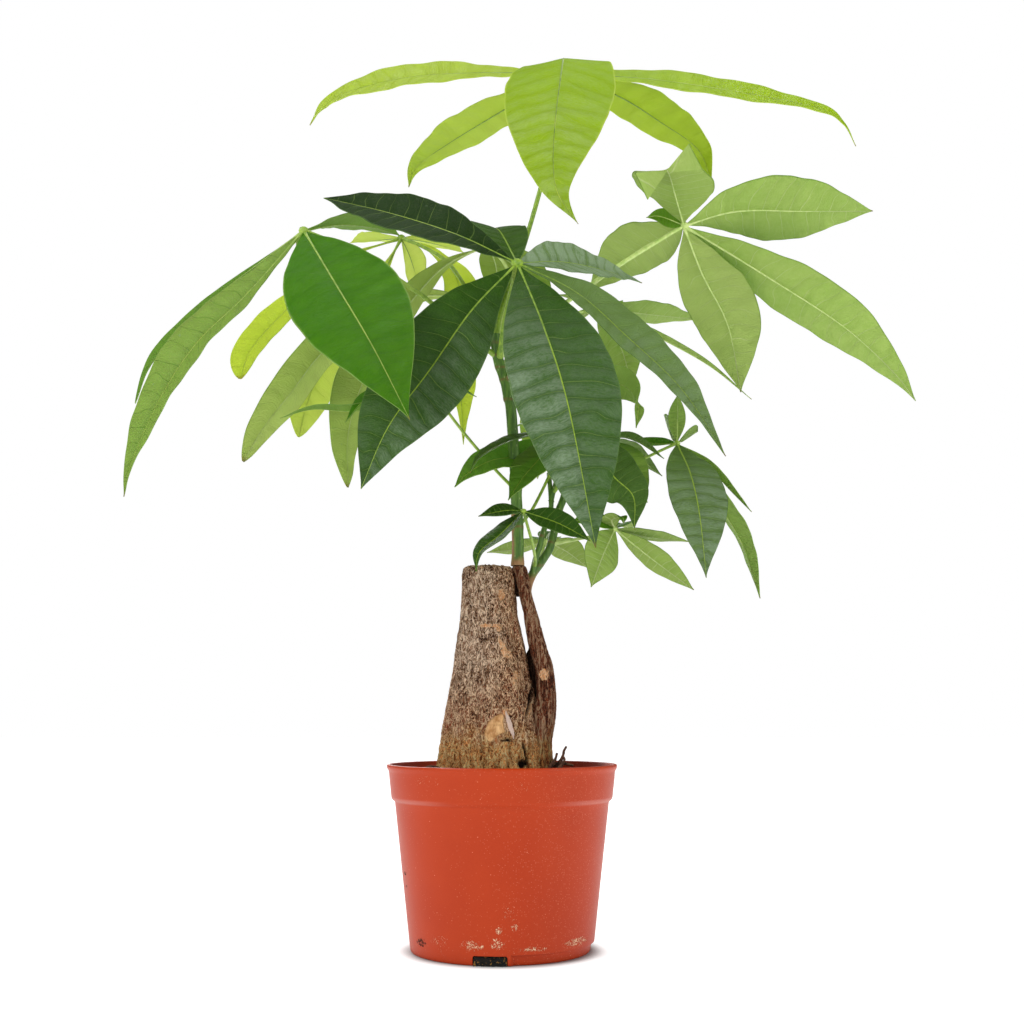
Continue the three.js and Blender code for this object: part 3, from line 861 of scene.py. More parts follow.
@dataclass
class Soil:
    """The soil in the pot, with crumbs, roots and twig bits on it."""

    pot: Pot
    gap: float = 0.3
    edge: float = 84.5
    crown: float = 90.5
    rows: int = 44
    steps: int = 150
    crumbs: int = 420
    crumb_size: tuple[float, float] = (0.5, 1.5)
    roots: int = 64
    root_long: tuple[float, float] = (3, 9)
    root_thick: tuple[float, float] = (0.14, 0.3)
    root_bends: int = 3
    root_top: float = 95
    root_mesh: tuple[int, int] = (4, 8)
    reach: float = 54
    seed: int = 11
    trunk_middle: tuple[float, float] = (-2.0, 0.5)
    trunk_radius: float = 27.5
    plug_long: float = 8.2
    plug_gap: float = 0.6
    plug_crease: float = 40
    twig_thick: float = 1.25
    twig_mesh: tuple[int, int] = (8, 14)
    crumb_crease: float = 70
    crease: float = 60
    twigs: tuple[tuple[Point, ...], ...] = (
        ((24, -12, 92), (27, -12.5, 95.5), (28.5, -12, 99.6)),
        ((27, -10, 92), (30.5, -10.5, 96), (32.2, -10, 100.8), (33.4, -10, 103)),
        ((29, -13, 91.5), (32, -13.5, 95.5), (31.4, -13.5, 98.5)),
        ((24, -6, 92), (30, -8, 94.4), (37, -9, 93.2)),
        ((-31, -14, 91), (-36, -16, 92.8), (-42, -15, 91)),
        ((10, 34, 91), (18, 38, 93), (26, 37, 91)),
        ((-18, 34, 90), (-26, 36, 93), (-31, 41, 90)),
    )
    damp: Earth = Earth()
    # The soil in the notches: painted near black as the painted shade inside each notch, with its own pale fibres
    shaded_notch_earth: Earth = Earth("shaded_notch_soil", paint(26, 17, 9), paint(7, 5, 3), paint(168, 120, 50), 0.6)
    dry_root: DryFibre = DryFibre("dry_root", paint(214, 178, 128), paint(150, 112, 70))
    dry_twig: DryFibre = DryFibre("dry_twig", paint(112, 72, 46), paint(48, 28, 18))

    def ground(self, x: float, y: float) -> float:
        """Gives the height of the soil's surface.

        Args:
            x: The place's x.
            y: The place's y.

        Returns:
            The height there.
        """
        rim = self.pot.inner_radius(self.edge) - self.gap
        share = 1 - math.hypot(x, y) / rim
        mound = lerp(self.edge, self.crown, ease(0.02, 0.5, share))
        rough = 1.3 * wave(x * 0.09, y * 0.09, 3) + 0.8 * wave(x * 0.3, y * 0.3, 7) + 0.4 * wave(x * 0.8, y * 0.8, 1)
        return mound + rough * ease(0, 0.06, share)

    def body(self) -> Object:
        """Builds the body of soil."""
        pot, gap = self.pot, self.gap
        low = pot.floor + gap
        profile = [(0.0, low), (20, low), (pot.inner_radius(low) - gap - 0.5, low)]
        profile += [(pot.inner_radius(z) - gap - 0.2, z) for z in (low + 0.6, 8, 30, 55, pot.ledge, 80)]
        rim = pot.inner_radius(self.edge) - gap - 0.6
        profile += [(rim * (1 - i / self.rows), self.edge) for i in range(self.rows + 1)]
        piece = Bench.turned("potting_soil", profile, self.steps)
        for vertex in piece.data.vertices:
            x, y, z = vertex.co / MM
            if z > self.edge - 0.1:
                vertex.co.z = self.ground(x, y) * MM
            elif z > low + 0.1:
                dent = min(1 + 0.004 * wave(x * 0.2, y * 0.2, z * 0.2), 1)
                vertex.co.x *= dent
                vertex.co.y *= dent
        Bench.smooth(piece, self.crease)
        return piece

    def spot(self, draw: random.Random) -> tuple[float, float]:
        """Draws a place on the soil beside the trunk."""
        while True:
            angle, reach = draw.random() * TURN, math.sqrt(draw.random()) * self.reach
            x, y = math.cos(angle) * reach, math.sin(angle) * reach
            if math.hypot(x - self.trunk_middle[0], y - self.trunk_middle[1]) > self.trunk_radius:
                return x, y

    def clods(self, draw: random.Random) -> Object:
        """Builds the crumbs as copies of one.

        Args:
            draw: Draws the place, size and turn of each.

        Returns:
            The crumbs, as one piece.
        """
        Bench.clear()
        bpy.ops.mesh.primitive_cube_add(size=1.2)
        blank = Bench.made("crumb_blank")
        with Bench.editing():
            bpy.ops.mesh.subdivide(number_cuts=1, smoothness=1)
        shape = [v.co.copy() for v in blank.data.vertices]
        faces = [tuple(p.vertices) for p in blank.data.polygons]
        Bench.drop(blank)
        points: list[Vector] = []
        skins: list[tuple[int, ...]] = []
        for _ in range(self.crumbs):
            x, y = self.spot(draw)
            size = draw.uniform(*self.crumb_size) ** 1.6
            axis = Vector((draw.random(), draw.random(), draw.random())).normalized()
            turn = Quaternion(axis, draw.random() * 6)
            middle = Vector((x, y, self.ground(x, y) + size * 0.25))
            start = len(points)
            for co in shape:
                lump = 1 + 0.35 * wave(co.x * 1.7 + x, co.y * 1.7 + y, co.z * 1.7)
                points.append((middle + turn @ Vector((co.x, co.y, co.z * 0.8)) * size * lump) * MM)
            skins += [tuple(start + i for i in face) for face in faces]
        mesh = bpy.data.meshes.new("soil_crumbs")
        mesh.from_pydata(points, [], skins)
        piece = Bench.link("soil_crumbs", mesh)
        Bench.smooth(piece, self.crumb_crease)
        return piece

    def threads(self, draw: random.Random) -> Object:
        """Builds the pale roots that lie on the soil.

        Args:
            draw: Draws the place, line and thickness of each.

        Returns:
            The roots, as one piece.
        """
        pieces = []
        for _ in range(self.roots):
            x, y = self.spot(draw)
            turn, long = draw.random() * TURN, draw.uniform(*self.root_long)
            path = []
            for step in range(self.root_bends + 1):
                turn += draw.uniform(-0.7, 0.7)
                lift = 0.35 + draw.uniform(0, 1.3) * (0 < step < self.root_bends)
                path.append((x, y, min(self.ground(x, y) + lift, self.root_top)))
                x += math.cos(turn) * long / self.root_bends
                y += math.sin(turn) * long / self.root_bends
                reach = math.hypot(x, y)
                if reach > self.reach:
                    x, y = x * self.reach / reach, y * self.reach / reach
            radius = self.taper(draw.uniform(*self.root_thick), 0.5)
            pieces.append(Bench.tube("root", Line(path), radius, *self.root_mesh))
        return Bench.join("soil_roots", pieces)

    @staticmethod
    def taper(thick: float, loss: float) -> Taper:
        """Gives the radius along a root or twig.

        Args:
            thick: Its radius at the foot.
            loss: The share that it loses towards the tip.

        Returns:
            A function that gives the radius at a share of the length.
        """

        def radius(share: float) -> float:
            """Gives the radius."""
            return thick * (1 - loss * share)

        return radius

    def bits(self) -> Object:
        """Builds the dark twig bits beside the trunk."""

        def rough(point: Vector, _: float) -> float:
            """Gives the height of the uneven bark."""
            return 0.3 * wave(*(point * 0.7))

        pieces = []
        for i, path in enumerate(self.twigs):
            radius = self.taper(self.twig_thick - 0.1 * (i % 3), 0.55)
            pieces.append(Bench.tube("twig", Line(path), radius, *self.twig_mesh, rough))
        whole = Bench.join("soil_twigs", pieces)
        Bench.smooth(whole, self.crease)
        return whole

    def plug(self, turn: float) -> Object:
        """Builds the soil that has washed out into a notch of the pot's foot.

        Args:
            turn: The notch's direction, in radians.

        Returns:
            The lump of soil, standing on the ground.
        """
        pot = self.pot
        back = pot.foot_radius + pot.notch_overrun + self.plug_gap - pot.notch_reach
        wide, tall = pot.notch_width - 0.8, pot.notch_height - 0.5
        outwards = Vector((math.cos(turn), math.sin(turn), 0))
        sideways = UP.cross(outwards)
        Bench.clear()
        bpy.ops.mesh.primitive_cube_add(size=1)
        piece = Bench.made("notch_soil")
        with Bench.editing():
            bpy.ops.mesh.subdivide(number_cuts=20)
        points = []
        for vertex in piece.data.vertices:
            x, y, z = vertex.co
            rough = wave(y * 9, z * 4, 2.5) + 0.5 * wave(y * 23, z * 9, x * 9)
            out = back + (x + 0.5) * self.plug_long + ease(-0.2, 0.5, x) * 0.7 * (rough - 0.6)
            points.append(outwards * out + sideways * (y * wide) + UP * ((z + 0.5) * tall))
        Bench.place(piece, points)
        Bench.smooth(piece, self.plug_crease)
        return piece

    def build(self) -> None:
        """Builds and dresses the soil."""
        draw = random.Random(self.seed)
        earth = self.damp.dress()
        # The notch plugs wear the near-black soil, painted shade in the notches
        plugs = Bench.join("notch_soil", [self.plug(turn) for turn in self.pot.notch_turns()])
        for piece, material, nodes in (
            (plugs, self.shaded_notch_earth.dress(), ()),
            (self.body(), earth, ("soil",)),
            (self.clods(draw), earth, ()),
            (self.threads(draw), self.dry_root.dress(), ()),
            (self.bits(), self.dry_twig.dress(), ()),
        ):
            wear(piece, material)
            settle(piece, "soil", *nodes)


# ---------- trunk ----------


@dataclass(frozen=True)
class Bark:
    """Grey-brown fibrous bark, ochre near the foot, with cuts, stains and healed wounds; painted shade in its cracks,
    clefts and grooves, and painted light on the upper left of the stump.
    """

    dark: Colour = paint(44, 24, 15)
    middle: Colour = paint(166, 108, 74)
    light: Colour = paint(255, 216, 172)
    # Grey and grey_light colour the upper left of the stump: greyer bark, and lighter as painted light from the left
    grey: Colour = paint(162, 124, 94)
    grey_light: Colour = paint(255, 228, 202)
    red: Colour = paint(150, 74, 42)
    shade: Colour = paint(52, 28, 19)
    ochre_dark: Colour = paint(122, 62, 28)
    ochre: Colour = paint(255, 176, 102)
    ochre_light: Colour = paint(255, 228, 160)
    cut: Colour = paint(246, 202, 146)
    cut_shade: Colour = paint(186, 132, 80)
    wound: Colour = paint(238, 210, 194)
    rust: Colour = paint(240, 164, 104)
    # Near black: the painted shade of cracks and of the clefts between the trunks
    shaded_hollow: Colour = paint(26, 15, 10)
    rough: float = 0.85
    gloss: float = 0.1

    def dress(self) -> Material:
        """Makes the material."""
        tree = Tree("bark")
        place = tree.place()
        x, y, z = tree.split(place)
        relief, cut, wound = tree.attribute("bark")
        # The stain attribute carries rust, the side trunk's share, and the painted shade of hollows
        rust, side, deep = tree.attribute("stain")
        grain = tree.place((1, 1, 0.48))
        long_grain = tree.place((1, 1, 0.12))
        drift = tree.noise(place, 150, 3, 0.6)
        patch = tree.noise(place, 52, 3, 0.6)
        crumbs = tree.noise(place, 620, 3, 0.6)
        twisted = tree.noise(grain, 340, 2, 0.5, 2.3)
        straight = tree.noise(long_grain, 520, 2, 0.5, 0.6)
        threads = twisted + (straight - twisted) * side
        ridge = (1 - abs(threads - 0.5) * 13).high(0.0)
        second = tree.noise(tree.place((1, 1, 0.42), (0.3, 0.7, 0.1)), 680, 2, 0.5, 1.8)
        strand = (1 - abs(second - 0.5) * 12).high(0.0)
        fine = tree.noise(grain, 2100, 3, 0.65, 0.4)
        # Painted shade: the tone is darker where the relief is low, in the grooves; the pale threads and strands are
        # the bark's own fibres, partly painted highlight on their raised crests
        tone = relief * 0.3 + ridge * 0.55 + strand * 0.4 + (fine - 0.5) * 0.6 + (drift + patch - 1) * 0.5
        low = (z + (drift + patch - 1) * 0.024).step(0.117, 0.098)
        # Painted light: the upper left of the stump is greyer and lighter, partly the bark's own grey, partly painted
        # light from the left
        grey = (x + (patch - 0.5) * 0.03).step(0.006, -0.01) * z.step(0.112, 0.15) * (1 - side)
        reddish = (patch.step(0.5, 0.62) + side * 0.8 + (z * -1).step(-0.15, -0.12) * 0.3).step(0.0, 1.0)
        dark = tree.mix(low, self.dark, self.ochre_dark)
        middle = tree.mix(reddish, self.middle, self.red)
        middle = tree.mix(grey * 0.8, middle, self.grey)
        middle = tree.mix(low, middle, self.ochre)
        light = tree.mix(grey * 0.75, self.light, self.grey_light)
        light = tree.mix(side * 0.35, light, self.red)
        light = tree.mix(low, light, self.ochre_light)
        base = tree.mix(tone.step(0.14, 0.38), dark, middle)
        base = tree.mix(tone.step(0.44, 0.76), base, light)
        base = tree.mix(side * 0.42, base, self.shade)
        flake = (rust + (crumbs - 0.5) * 2.4).step(0.6, 0.95) * rust.step(0.0, 0.3)
        base = tree.mix(flake * 0.85, base, tree.mix(fine.step(0.4, 0.6), self.rust, self.light))
        face = (cut + (crumbs - 0.5) * 0.3).step(0.4, 0.6)
        streaks = tree.noise(grain, 420, 3, 0.6)
        base = tree.mix(face, base, tree.mix(streaks.step(0.35, 0.7), self.cut_shade, self.cut))
        sliver = (wound + (crumbs - 0.5) * 0.3).step(0.4, 0.6)
        base = tree.mix(sliver * wound.step(0.3, 0.9), base, self.wound)
        # Painted shade: near black in the cracks and in the clefts between the trunks
        base = tree.mix(deep, base, self.shaded_hollow)
        smooth = (1 - face * 0.8) * (1 - sliver * 0.7)
        height = (ridge * 0.0009 + strand * 0.00055 + fine * 0.0005 + drift * 0.0004) * smooth
        return tree.finish(tree.surface(base, self.rough, height, self.gloss))


Section = tuple[float, float, float, float, float]


class Kind(Enum):
    """What a piece of the trunk is; it decides which marks its bark has."""

    STUMP = "stump"
    SIDE = "side"
    WEB = "web"


@dataclass(frozen=True)
class Wood:
    """A closed piece of trunk, as sections: height, middle x and y, half width and half depth."""

    name: str
    kind: Kind
    sections: tuple[Section, ...]
    sides: int
    rows: int
    depth: float

    def rings(self) -> list[Section]:
        """Gives a section for every row of the mesh, spaced by the length of the skin."""
        table = self.sections
        marks = [0.0]
        for a, b in zip(table, table[1:]):
            marks.append(marks[-1] + math.hypot(b[0] - a[0], b[3] - a[3]))
        slopes = []
        for i in range(len(table)):
            low, high = max(i - 1, 0), min(i + 1, len(table) - 1)
            slopes.append([(b - a) / (marks[high] - marks[low]) for a, b in zip(table[low], table[high])])
        rings = []
        i = 0
        for row in range(self.rows + 1):
            goal = marks[-1] * row / self.rows
            while i + 2 < len(marks) and marks[i + 1] < goal:
                i += 1
            span = marks[i + 1] - marks[i]
            share = (goal - marks[i]) / span
            parts = zip(table[i], table[i + 1], slopes[i], slopes[i + 1])
            rings.append(tuple(curve(a, b, m * span, n * span, share) for a, b, m, n in parts))
        return rings


@dataclass
class Trunk:
    """The cut-back stump and the side trunk that leans off it."""

    ridge: float = 0.035
    ridges: int = 7
    wander: float = 0.045
    lobe_wander: float = 0.03
    stump: Wood = Wood(
        "stump",
        Kind.STUMP,
        (
            (70, -3, 2, 29, 26.5), (80, -3.6, 1.5, 30.2, 28), (90, -4.3, 1, 30.4, 28.5),
            (98, -4.3, 1, 29.2, 27), (109, -4.6, 0.5, 27.4, 25), (119, -4.9, 0, 25, 23.2),
            (130, -5.6, 0, 22.2, 21), (145, -6, 0, 19.4, 18.6), (158, -6.4, 0, 17.4, 16.8),
            (170, -7.2, 0, 15, 15), (184, -7.3, 0, 14.1, 14), (192, -7.5, 0, 13.6, 13.4),
            (195.4, -7.6, 0, 12.9, 12.6), (197, -7.7, 0, 11.6, 11.3), (197.4, -7.8, 0, 9.6, 9.4),
            (196.7, -7.8, 0, 7.2, 7), (196.2, -7.8, 0, 3, 3), (196.1, -7.8, 0, 0.05, 0.05),
        ),
        300, 190, 1.0,
    )
    leaning: Wood = Wood(
        "side_trunk",
        Kind.SIDE,
        (
            (60, 14, -4, 7, 9), (86, 18, -5, 8.4, 11), (104, 18.6, -5, 7.2, 9.5),
            (118, 21, -5, 6.7, 8.4), (128, 22.9, -4.8, 5.2, 7.4), (137, 22.8, -4.5, 4.8, 6.8),
            (144, 21.9, -4.3, 4.7, 6.4), (156, 18.3, -4, 4.5, 5.8), (168, 15.8, -3.6, 3.8, 5),
            (180, 12.9, -3, 3.3, 4.4), (190, 10.8, -2.4, 3.3, 4), (196, 9.3, -1.7, 3.7, 3.8),
            (197.4, 9.1, -1.6, 3, 3.1), (197.7, 9.1, -1.6, 0.05, 0.05),
        ),
        110, 170, 0.6,
    )
    # The webs fill the clefts behind and between the two trunks; their bark is painted near black above about 114 to
    # 122 mm, as painted shade in the clefts
    web: Wood = Wood(
        "cleft_web",
        Kind.WEB,
        (
            (100, 16, 2, 7, 7), (120, 17, 2, 6.4, 6), (136, 17, 1.8, 5, 4.8), (147, 15.4, 1.4, 3.6, 3.6),
            (151, 14.7, 1.2, 1.9, 2.4), (154, 15.3, 0.6, 1.3, 1.8), (158, 14.5, 0, 0.9, 1.4),
            (159, 14.6, 0, 0.05, 0.05),
        ),
        48, 60, 0.3,
    )
    bridge: Wood = Wood(
        "top_web",
        Kind.WEB,
        (
            (181.5, 8.1, 1, 0.05, 0.05), (182, 8.1, 1, 1.4, 2.6), (185, 8, 1, 2.6, 3.6), (192, 7.6, 1, 3, 3.8),
            (195.4, 7.2, 1, 2.6, 3.4), (195.8, 7.2, 1, 0.05, 0.05),
        ),
        40, 30, 0.3,
    )
    cut: tuple[tuple[float, float], ...] = (
        (-0.4, 120), (1.1, 118.5), (0.6, 115.4), (1.7, 110.4), (-1.9, 108.8), (-5.9, 105.3),
        (-8, 107.3), (-9, 109.8), (-7, 115.4), (-3.9, 118),
    )
    # Heights between which the bark turns from that of the foot, and the sawn top's edge and middle
    foot_from: float = 118
    foot_to: float = 98
    top_edge: tuple[float, float] = (192.5, 196)
    top_face: tuple[float, float] = (12.5, 8)
    top_middle: float = -7.5
    # Places on the front: middle x and z, half width and half height, and lean of a long mark
    wounds: tuple[tuple[float, ...], ...] = ((3.9, 114, 1.3, 6.6, -0.3), (12.4, 107, 1.2, 4.6, -0.2))
    rusts: tuple[tuple[float, ...], ...] = (
        (-1.5, 163.8, 1.7, 2.2, 0), (2.6, 150.2, 3.0, 2.6, -0.5), (0.2, 154.5, 1.6, 4.5, -0.4),
        (6.7, 138.3, 1.5, 3.6, 0.1), (-0.5, 181.5, 1.8, 3.4, 0), (-6, 164.8, 6.5, 1.1, 0),
        (2.2, 120.4, 2.0, 2.2, 0), (21.9, 139.8, 2.6, 3.2, 0), (13.5, 121.5, 1.8, 4.5, 0.2),
    )
    # Cracks: their bark is pushed in and painted near black, as painted shade in the cracks
    cracks: tuple[tuple[float, ...], ...] = (
        (12.2, 99, 0.7, 6.5, -0.25), (10.8, 94.6, 2.0, 2.2, 0), (14.4, 127, 0.9, 9, 0.2), (2.6, 106.4, 3.4, 0.5, 0.9),
    )
    crease: float = 80
    finish: Bark = Bark()

    @staticmethod
    def blot(x: float, z: float, spot: Sequence[float]) -> float:
        """Gives how much of a leaning oval spot lies at a place.

        Args:
            x: The place's x.
            z: The place's height.
            spot: The spot's middle x and z, half width, half height and lean.

        Returns:
            The share, 0 to 1.
        """
        middle, height, wide, tall, lean = spot
        across = (x - middle + (z - height) * -lean) / wide
        along = (z - height) / tall
        edge = 0.22 * wave(x * 0.8, z * 0.8, 5)
        return ease(1.18, 0.82, math.hypot(across, along) + edge)

    def cut_share(self, x: float, z: float) -> float:
        """Gives how far a place lies inside the cut face.

        Args:
            x: The place's x.
            z: The place's height.

        Returns:
            The share, 0 to 1, with half of it on the edge.
        """
        inside = False
        nearest = 99.0
        count = len(self.cut)
        for i in range(count):
            (x0, z0), (x1, z1) = self.cut[i], self.cut[(i + 1) % count]
            if (z0 > z) != (z1 > z) and x < (x1 - x0) * (z - z0) / (z1 - z0) + x0:
                inside = not inside
            span = (x1 - x0) ** 2 + (z1 - z0) ** 2
            t = clamp(((x - x0) * (x1 - x0) + (z - z0) * (z1 - z0)) / span)
            nearest = min(nearest, math.hypot(x - x0 - t * (x1 - x0), z - z0 - t * (z1 - z0)))
        return ease(-0.6, 0.6, nearest if inside else -nearest)

    def relief(self, place: Vector) -> float:
        """Gives the height of the bark's threads and clefts.

        Args:
            place: The place, in millimetres.

        Returns:
            The height there, about -1 to 1.
        """
        x, y, z = place
        warp_x = 2.4 * wave(x * 0.12, y * 0.12, z * 0.07)
        warp_y = 2.4 * wave(x * 0.12 + 9, y * 0.12, z * 0.07)
        fine = 1 - 3.4 * abs(wave((x + warp_x) * 0.52, (y + warp_y) * 0.52, z * 0.13))
        broad = 1 - 2.8 * abs(wave((x + warp_x) * 0.26 + 5, (y + warp_y) * 0.26, z * 0.06))
        split = ease(0.1, 0.0, abs(wave(x * 0.15 + warp_x * 0.1, y * 0.15, z * 0.03 + 4)))
        split *= 0.25 + 0.75 * ease(self.foot_from, self.foot_to, z)
        return 0.5 * max(fine, -0.3) + 0.4 * max(broad, -0.3) - 0.9 * split

    def marks(self, kind: Kind, place: Vector, front: float) -> tuple[float, float, float, float, float]:
        """Gives the marks of the bark.

        Args:
            kind: What the wood is.
            place: The place, in millimetres.
            front: How far the bark faces the front there.

        Returns:
            How much of the cut face, of a wound, of rust, of a hollow with painted shade and of the sawn top lies
            there.
        """
        x, y, z = place
        rust = max(self.blot(x, z, spot) for spot in self.rusts) * front
        if kind is not Kind.STUMP:
            # Painted shade: the webs' bark turns near black above 114 to 122 mm, in the clefts between the trunks
            shaded_hollow = 0.85 * ease(114, 122, z) if kind is Kind.WEB else 0.0
            return 0.0, 0.0, rust, shaded_hollow, 0.0
        first, second = (self.blot(x, z, spot) for spot in self.wounds)
        # Painted shade: near black in the cracks on the front
        shaded_hollow = max(self.blot(x, z, spot) for spot in self.cracks) * front
        top = ease(*self.top_edge, z)
        crown = ease(*self.top_face, math.hypot(x - self.top_middle, y)) * top
        rust = max(rust, 0.5 * top * (1 - crown))
        return self.cut_share(x, z) * front, max(first, 0.5 * second) * front, rust, shaded_hollow, crown

    def core(self, wood: Wood) -> Object:
        """Builds one closed piece of wood without its bark's relief.

        Args:
            wood: Its sections and mesh.

        Returns:
            The piece.
        """
        piece = Bench.rod(wood.name, wood.sides, wood.rows)
        rings = wood.rings()
        points = []
        for vertex in piece.data.vertices:
            across, depth, share = vertex.co
            z, x, y, wide, deep = rings[round(share * wood.rows)]
            angle = math.atan2(depth, across)
            lobe = math.cos(2 * angle + z * self.lobe_wander)
            swell = 1 + self.ridge * math.sin(self.ridges * angle + z * self.wander) * lobe
            points.append(Vector((x + math.cos(angle) * wide * swell, y + math.sin(angle) * deep * swell, z)))
        Bench.place(piece, points)
        Bench.close(piece)
        return piece

    def shape(self, wood: Wood) -> Object:
        """Builds one closed piece of wood with its bark.

        Args:
            wood: Its sections and mesh.

        Returns:
            The piece, with the attributes that the bark reads.
        """
        piece = self.core(wood)
        stump = wood.kind is Kind.STUMP
        normals = [n.vector.copy() for n in piece.data.vertex_normals]
        points, barks, stains = [], [], []
        for vertex, normal in zip(piece.data.vertices, normals):
            place = vertex.co / MM
            relief = self.relief(place)
            cut, wound, rust, shaded_hollow, crown = self.marks(wood.kind, place, ease(0.1, -0.35, normal.y))
            low = ease(self.foot_from, self.foot_to, place.z)
            height = relief * wood.depth * (0.75 + 0.5 * low) * (1 - 0.8 * cut) * (1 - 0.7 * wound)
            height += 0.8 * wound - 0.9 * cut - 0.5 * crown - (1.6 * shaded_hollow if stump else 0.0)
            height += 0.6 * ease(0.02, 0.4, cut) * ease(0.98, 0.5, cut)
            points.append(place + normal * height)
            barks.append((0.5 + 0.5 * relief, cut, wound))
            stains.append((rust, 0.0 if stump else 1.0, shaded_hollow))
        Bench.place(piece, points)
        Bench.mark(piece, "bark", barks)
        Bench.mark(piece, "stain", stains)
        return piece

    def build(self) -> None:
        """Builds and dresses the trunk."""
        woods = (self.stump, self.leaning, self.web, self.bridge)
        whole = Bench.join("trunk_wood", [self.shape(wood) for wood in woods])
        Bench.smooth(whole, self.crease)
        wear(whole, self.finish.dress())
        settle(whole, "bark", "trunk")


# ---------- stems ----------


@dataclass(frozen=True)
class GreenBark:
    """Smooth green bark with pale pores and brown scars."""

    colour: Colour = paint(58, 92, 30)
    bright: Colour = paint(96, 134, 46)
    brown: Colour = paint(150, 116, 78)
    scar: Colour = paint(124, 70, 44)
    pore: Colour = paint(176, 184, 128)
    rough: float = 0.55

    def dress(self) -> Material:
        """Makes the material."""
        tree = Tree("green_bark")
        brown, scar, _ = tree.attribute("skin")
        streaks = tree.noise(tree.place((1, 1, 0.18)), 620, 3, 0.6)
        base = tree.mix(streaks.step(0.3, 0.75), self.colour, self.bright)
        pores = (1 - tree.cells(tree.place((1, 1, 0.5)), 420).step(0.1, 0.2)) * 0.5
        base = tree.mix(pores, base, self.pore)
        bark = tree.mix(streaks.step(0.35, 0.6), blend(self.brown, self.scar, 0.5), self.brown)
        base = tree.mix(brown, base, bark)
        base = tree.mix(scar, base, self.scar)
        height = streaks * 0.0002 + brown * streaks * 0.0008 + pores * 0.00012
        return tree.finish(tree.surface(base, self.rough + brown * 0.3, height))


@dataclass(frozen=True)
class Shoot:
    """A green stem: points on its axis and its radius at the foot and at the top."""

    path: tuple[Point, ...]
    foot: float
    top: float
    knots: tuple[float, ...] = ()


@dataclass
class Stems:
    """The two green stems with their twigs, bud and scars."""

    main: Shoot = Shoot(
        (
            (8.2, -1.4, 197.8), (8.3, -1, 212), (7.6, 0, 234), (7.2, 0, 246), (4.7, 0, 283),
            (3.4, 0, 290), (1.4, 0, 300), (-1.9, 0, 310), (-3.6, 0, 320), (-4, 0, 326),
        ),
        3.2, 2.8, (219, 240, 289, 300, 307, 314, 321),
    )
    side: Shoot = Shoot(
        (
            (13.3, -2.4, 178.4), (13.2, 3.6, 185), (15.6, 8.8, 193), (21, 10, 201.2), (25.3, 10, 207.7),
            (27.6, 10, 215), (30.4, 10, 228), (33.1, 10, 235.3), (34.8, 10, 241), (37, 10.5, 248),
        ),
        2.5, 1.9, (199, 212, 229, 243),
    )
    twigs: tuple[Shoot, ...] = (
        Shoot(
            (
                (16, 9, 194), (18.2, 6.5, 203), (20.4, 6, 210.2), (22.1, 6, 217), (25.9, 7, 228.4),
                (26.5, 7, 235), (25.5, 9, 250),
            ),
            1.7, 1.2, (215, 228),
        ),
        Shoot(((26.5, 7, 234), (28.2, 6.5, 241), (30.2, 6, 248.5)), 1.3, 1.2),
    )
    bud: Point = (3.6, -2.6, 301.7)
    bud_mesh: tuple[int, int] = (12, 10)
    sides: int = 24
    row_long: float = 1.1
    knot_half: float = 1.6
    scar_half: float = 0.5
    crease: float = 70
    finish: GreenBark = GreenBark()

    def shoot(self, name: str, shoot: Shoot, strip: bool) -> Object:
        """Builds one stem or twig.

        Args:
            name: Name of the piece.
            shoot: Its line and radii.
            strip: Whether a strip of brown bark runs up its left side.

        Returns:
            The piece, with the attribute that the green bark reads.
        """

        def radius(share: float) -> float:
            """Gives the radius, flared at the foot and at the top."""
            flare = 0.5 * ease(0.05, 0.0, share) + 0.25 * ease(0.94, 1.0, share) * shoot.top / 3
            return lerp(shoot.foot, shoot.top, share) + flare

        def bulge(place: Vector, _: float) -> float:
            """Gives the height of knots and unevenness."""
            knots = sum(bell(place.z - knot, self.knot_half) for knot in shoot.knots)
            return 0.06 * shoot.foot * knots + 0.12 * wave(place.x * 0.5, place.y * 0.5, place.z * 0.25)

        line = Line(shoot.path)
        piece = Bench.tube(name, line, radius, self.sides, max(12, round(line.length / self.row_long)), bulge)
        skin = []
        for vertex in piece.data.vertices:
            x, y, z = vertex.co / MM
            rough = wave(x * 0.5, y * 0.5, z * 0.3)
            if strip:
                left = ease(7.2, 5.4, x + rough) * ease(229, 222, z + 6 * rough)
                brown = max(left, ease(203, 199.5, z + 2 * rough))
            else:
                brown = ease(196, 191, z + 2 * rough)
            scars = sum(bell(z - knot, self.scar_half) for knot in shoot.knots)
            skin.append((brown, min(1.0, 0.65 * scars), 0.0))
        Bench.mark(piece, "skin", skin)
        return piece

    def bud_piece(self) -> Object:
        """Builds the pointed bud on the main stem."""

        def radius(share: float) -> float:
            """Gives the radius of the pointed bud."""
            return 0.2 + 1.3 * math.sin(math.pi * min(1, 0.25 + share * 0.75))

        x, y, z = self.bud
        line = Line([(x - 1.2, y + 1.6, z - 2.2), self.bud, (x + 0.7, y - 0.5, z + 2.4)])
        piece = Bench.tube("bud", line, radius, *self.bud_mesh)
        Bench.mark(piece, "skin", [(0.2, 0.35, 0.0)] * len(piece.data.vertices))
        return piece

    def build(self) -> None:
        """Builds and dresses the stems."""
        green = self.finish.dress()
        main = Bench.join("main_stem", [self.shoot("axis", self.main, True), self.bud_piece()])
        side = Bench.join("side_stem", [self.shoot("twig", twig, False) for twig in (self.side, *self.twigs)])
        for piece, node in ((main, "stem_main"), (side, "stem_side")):
            Bench.smooth(piece, self.crease)
            wear(piece, green)
            settle(piece, "stem", node)


# ---------- leaves ----------


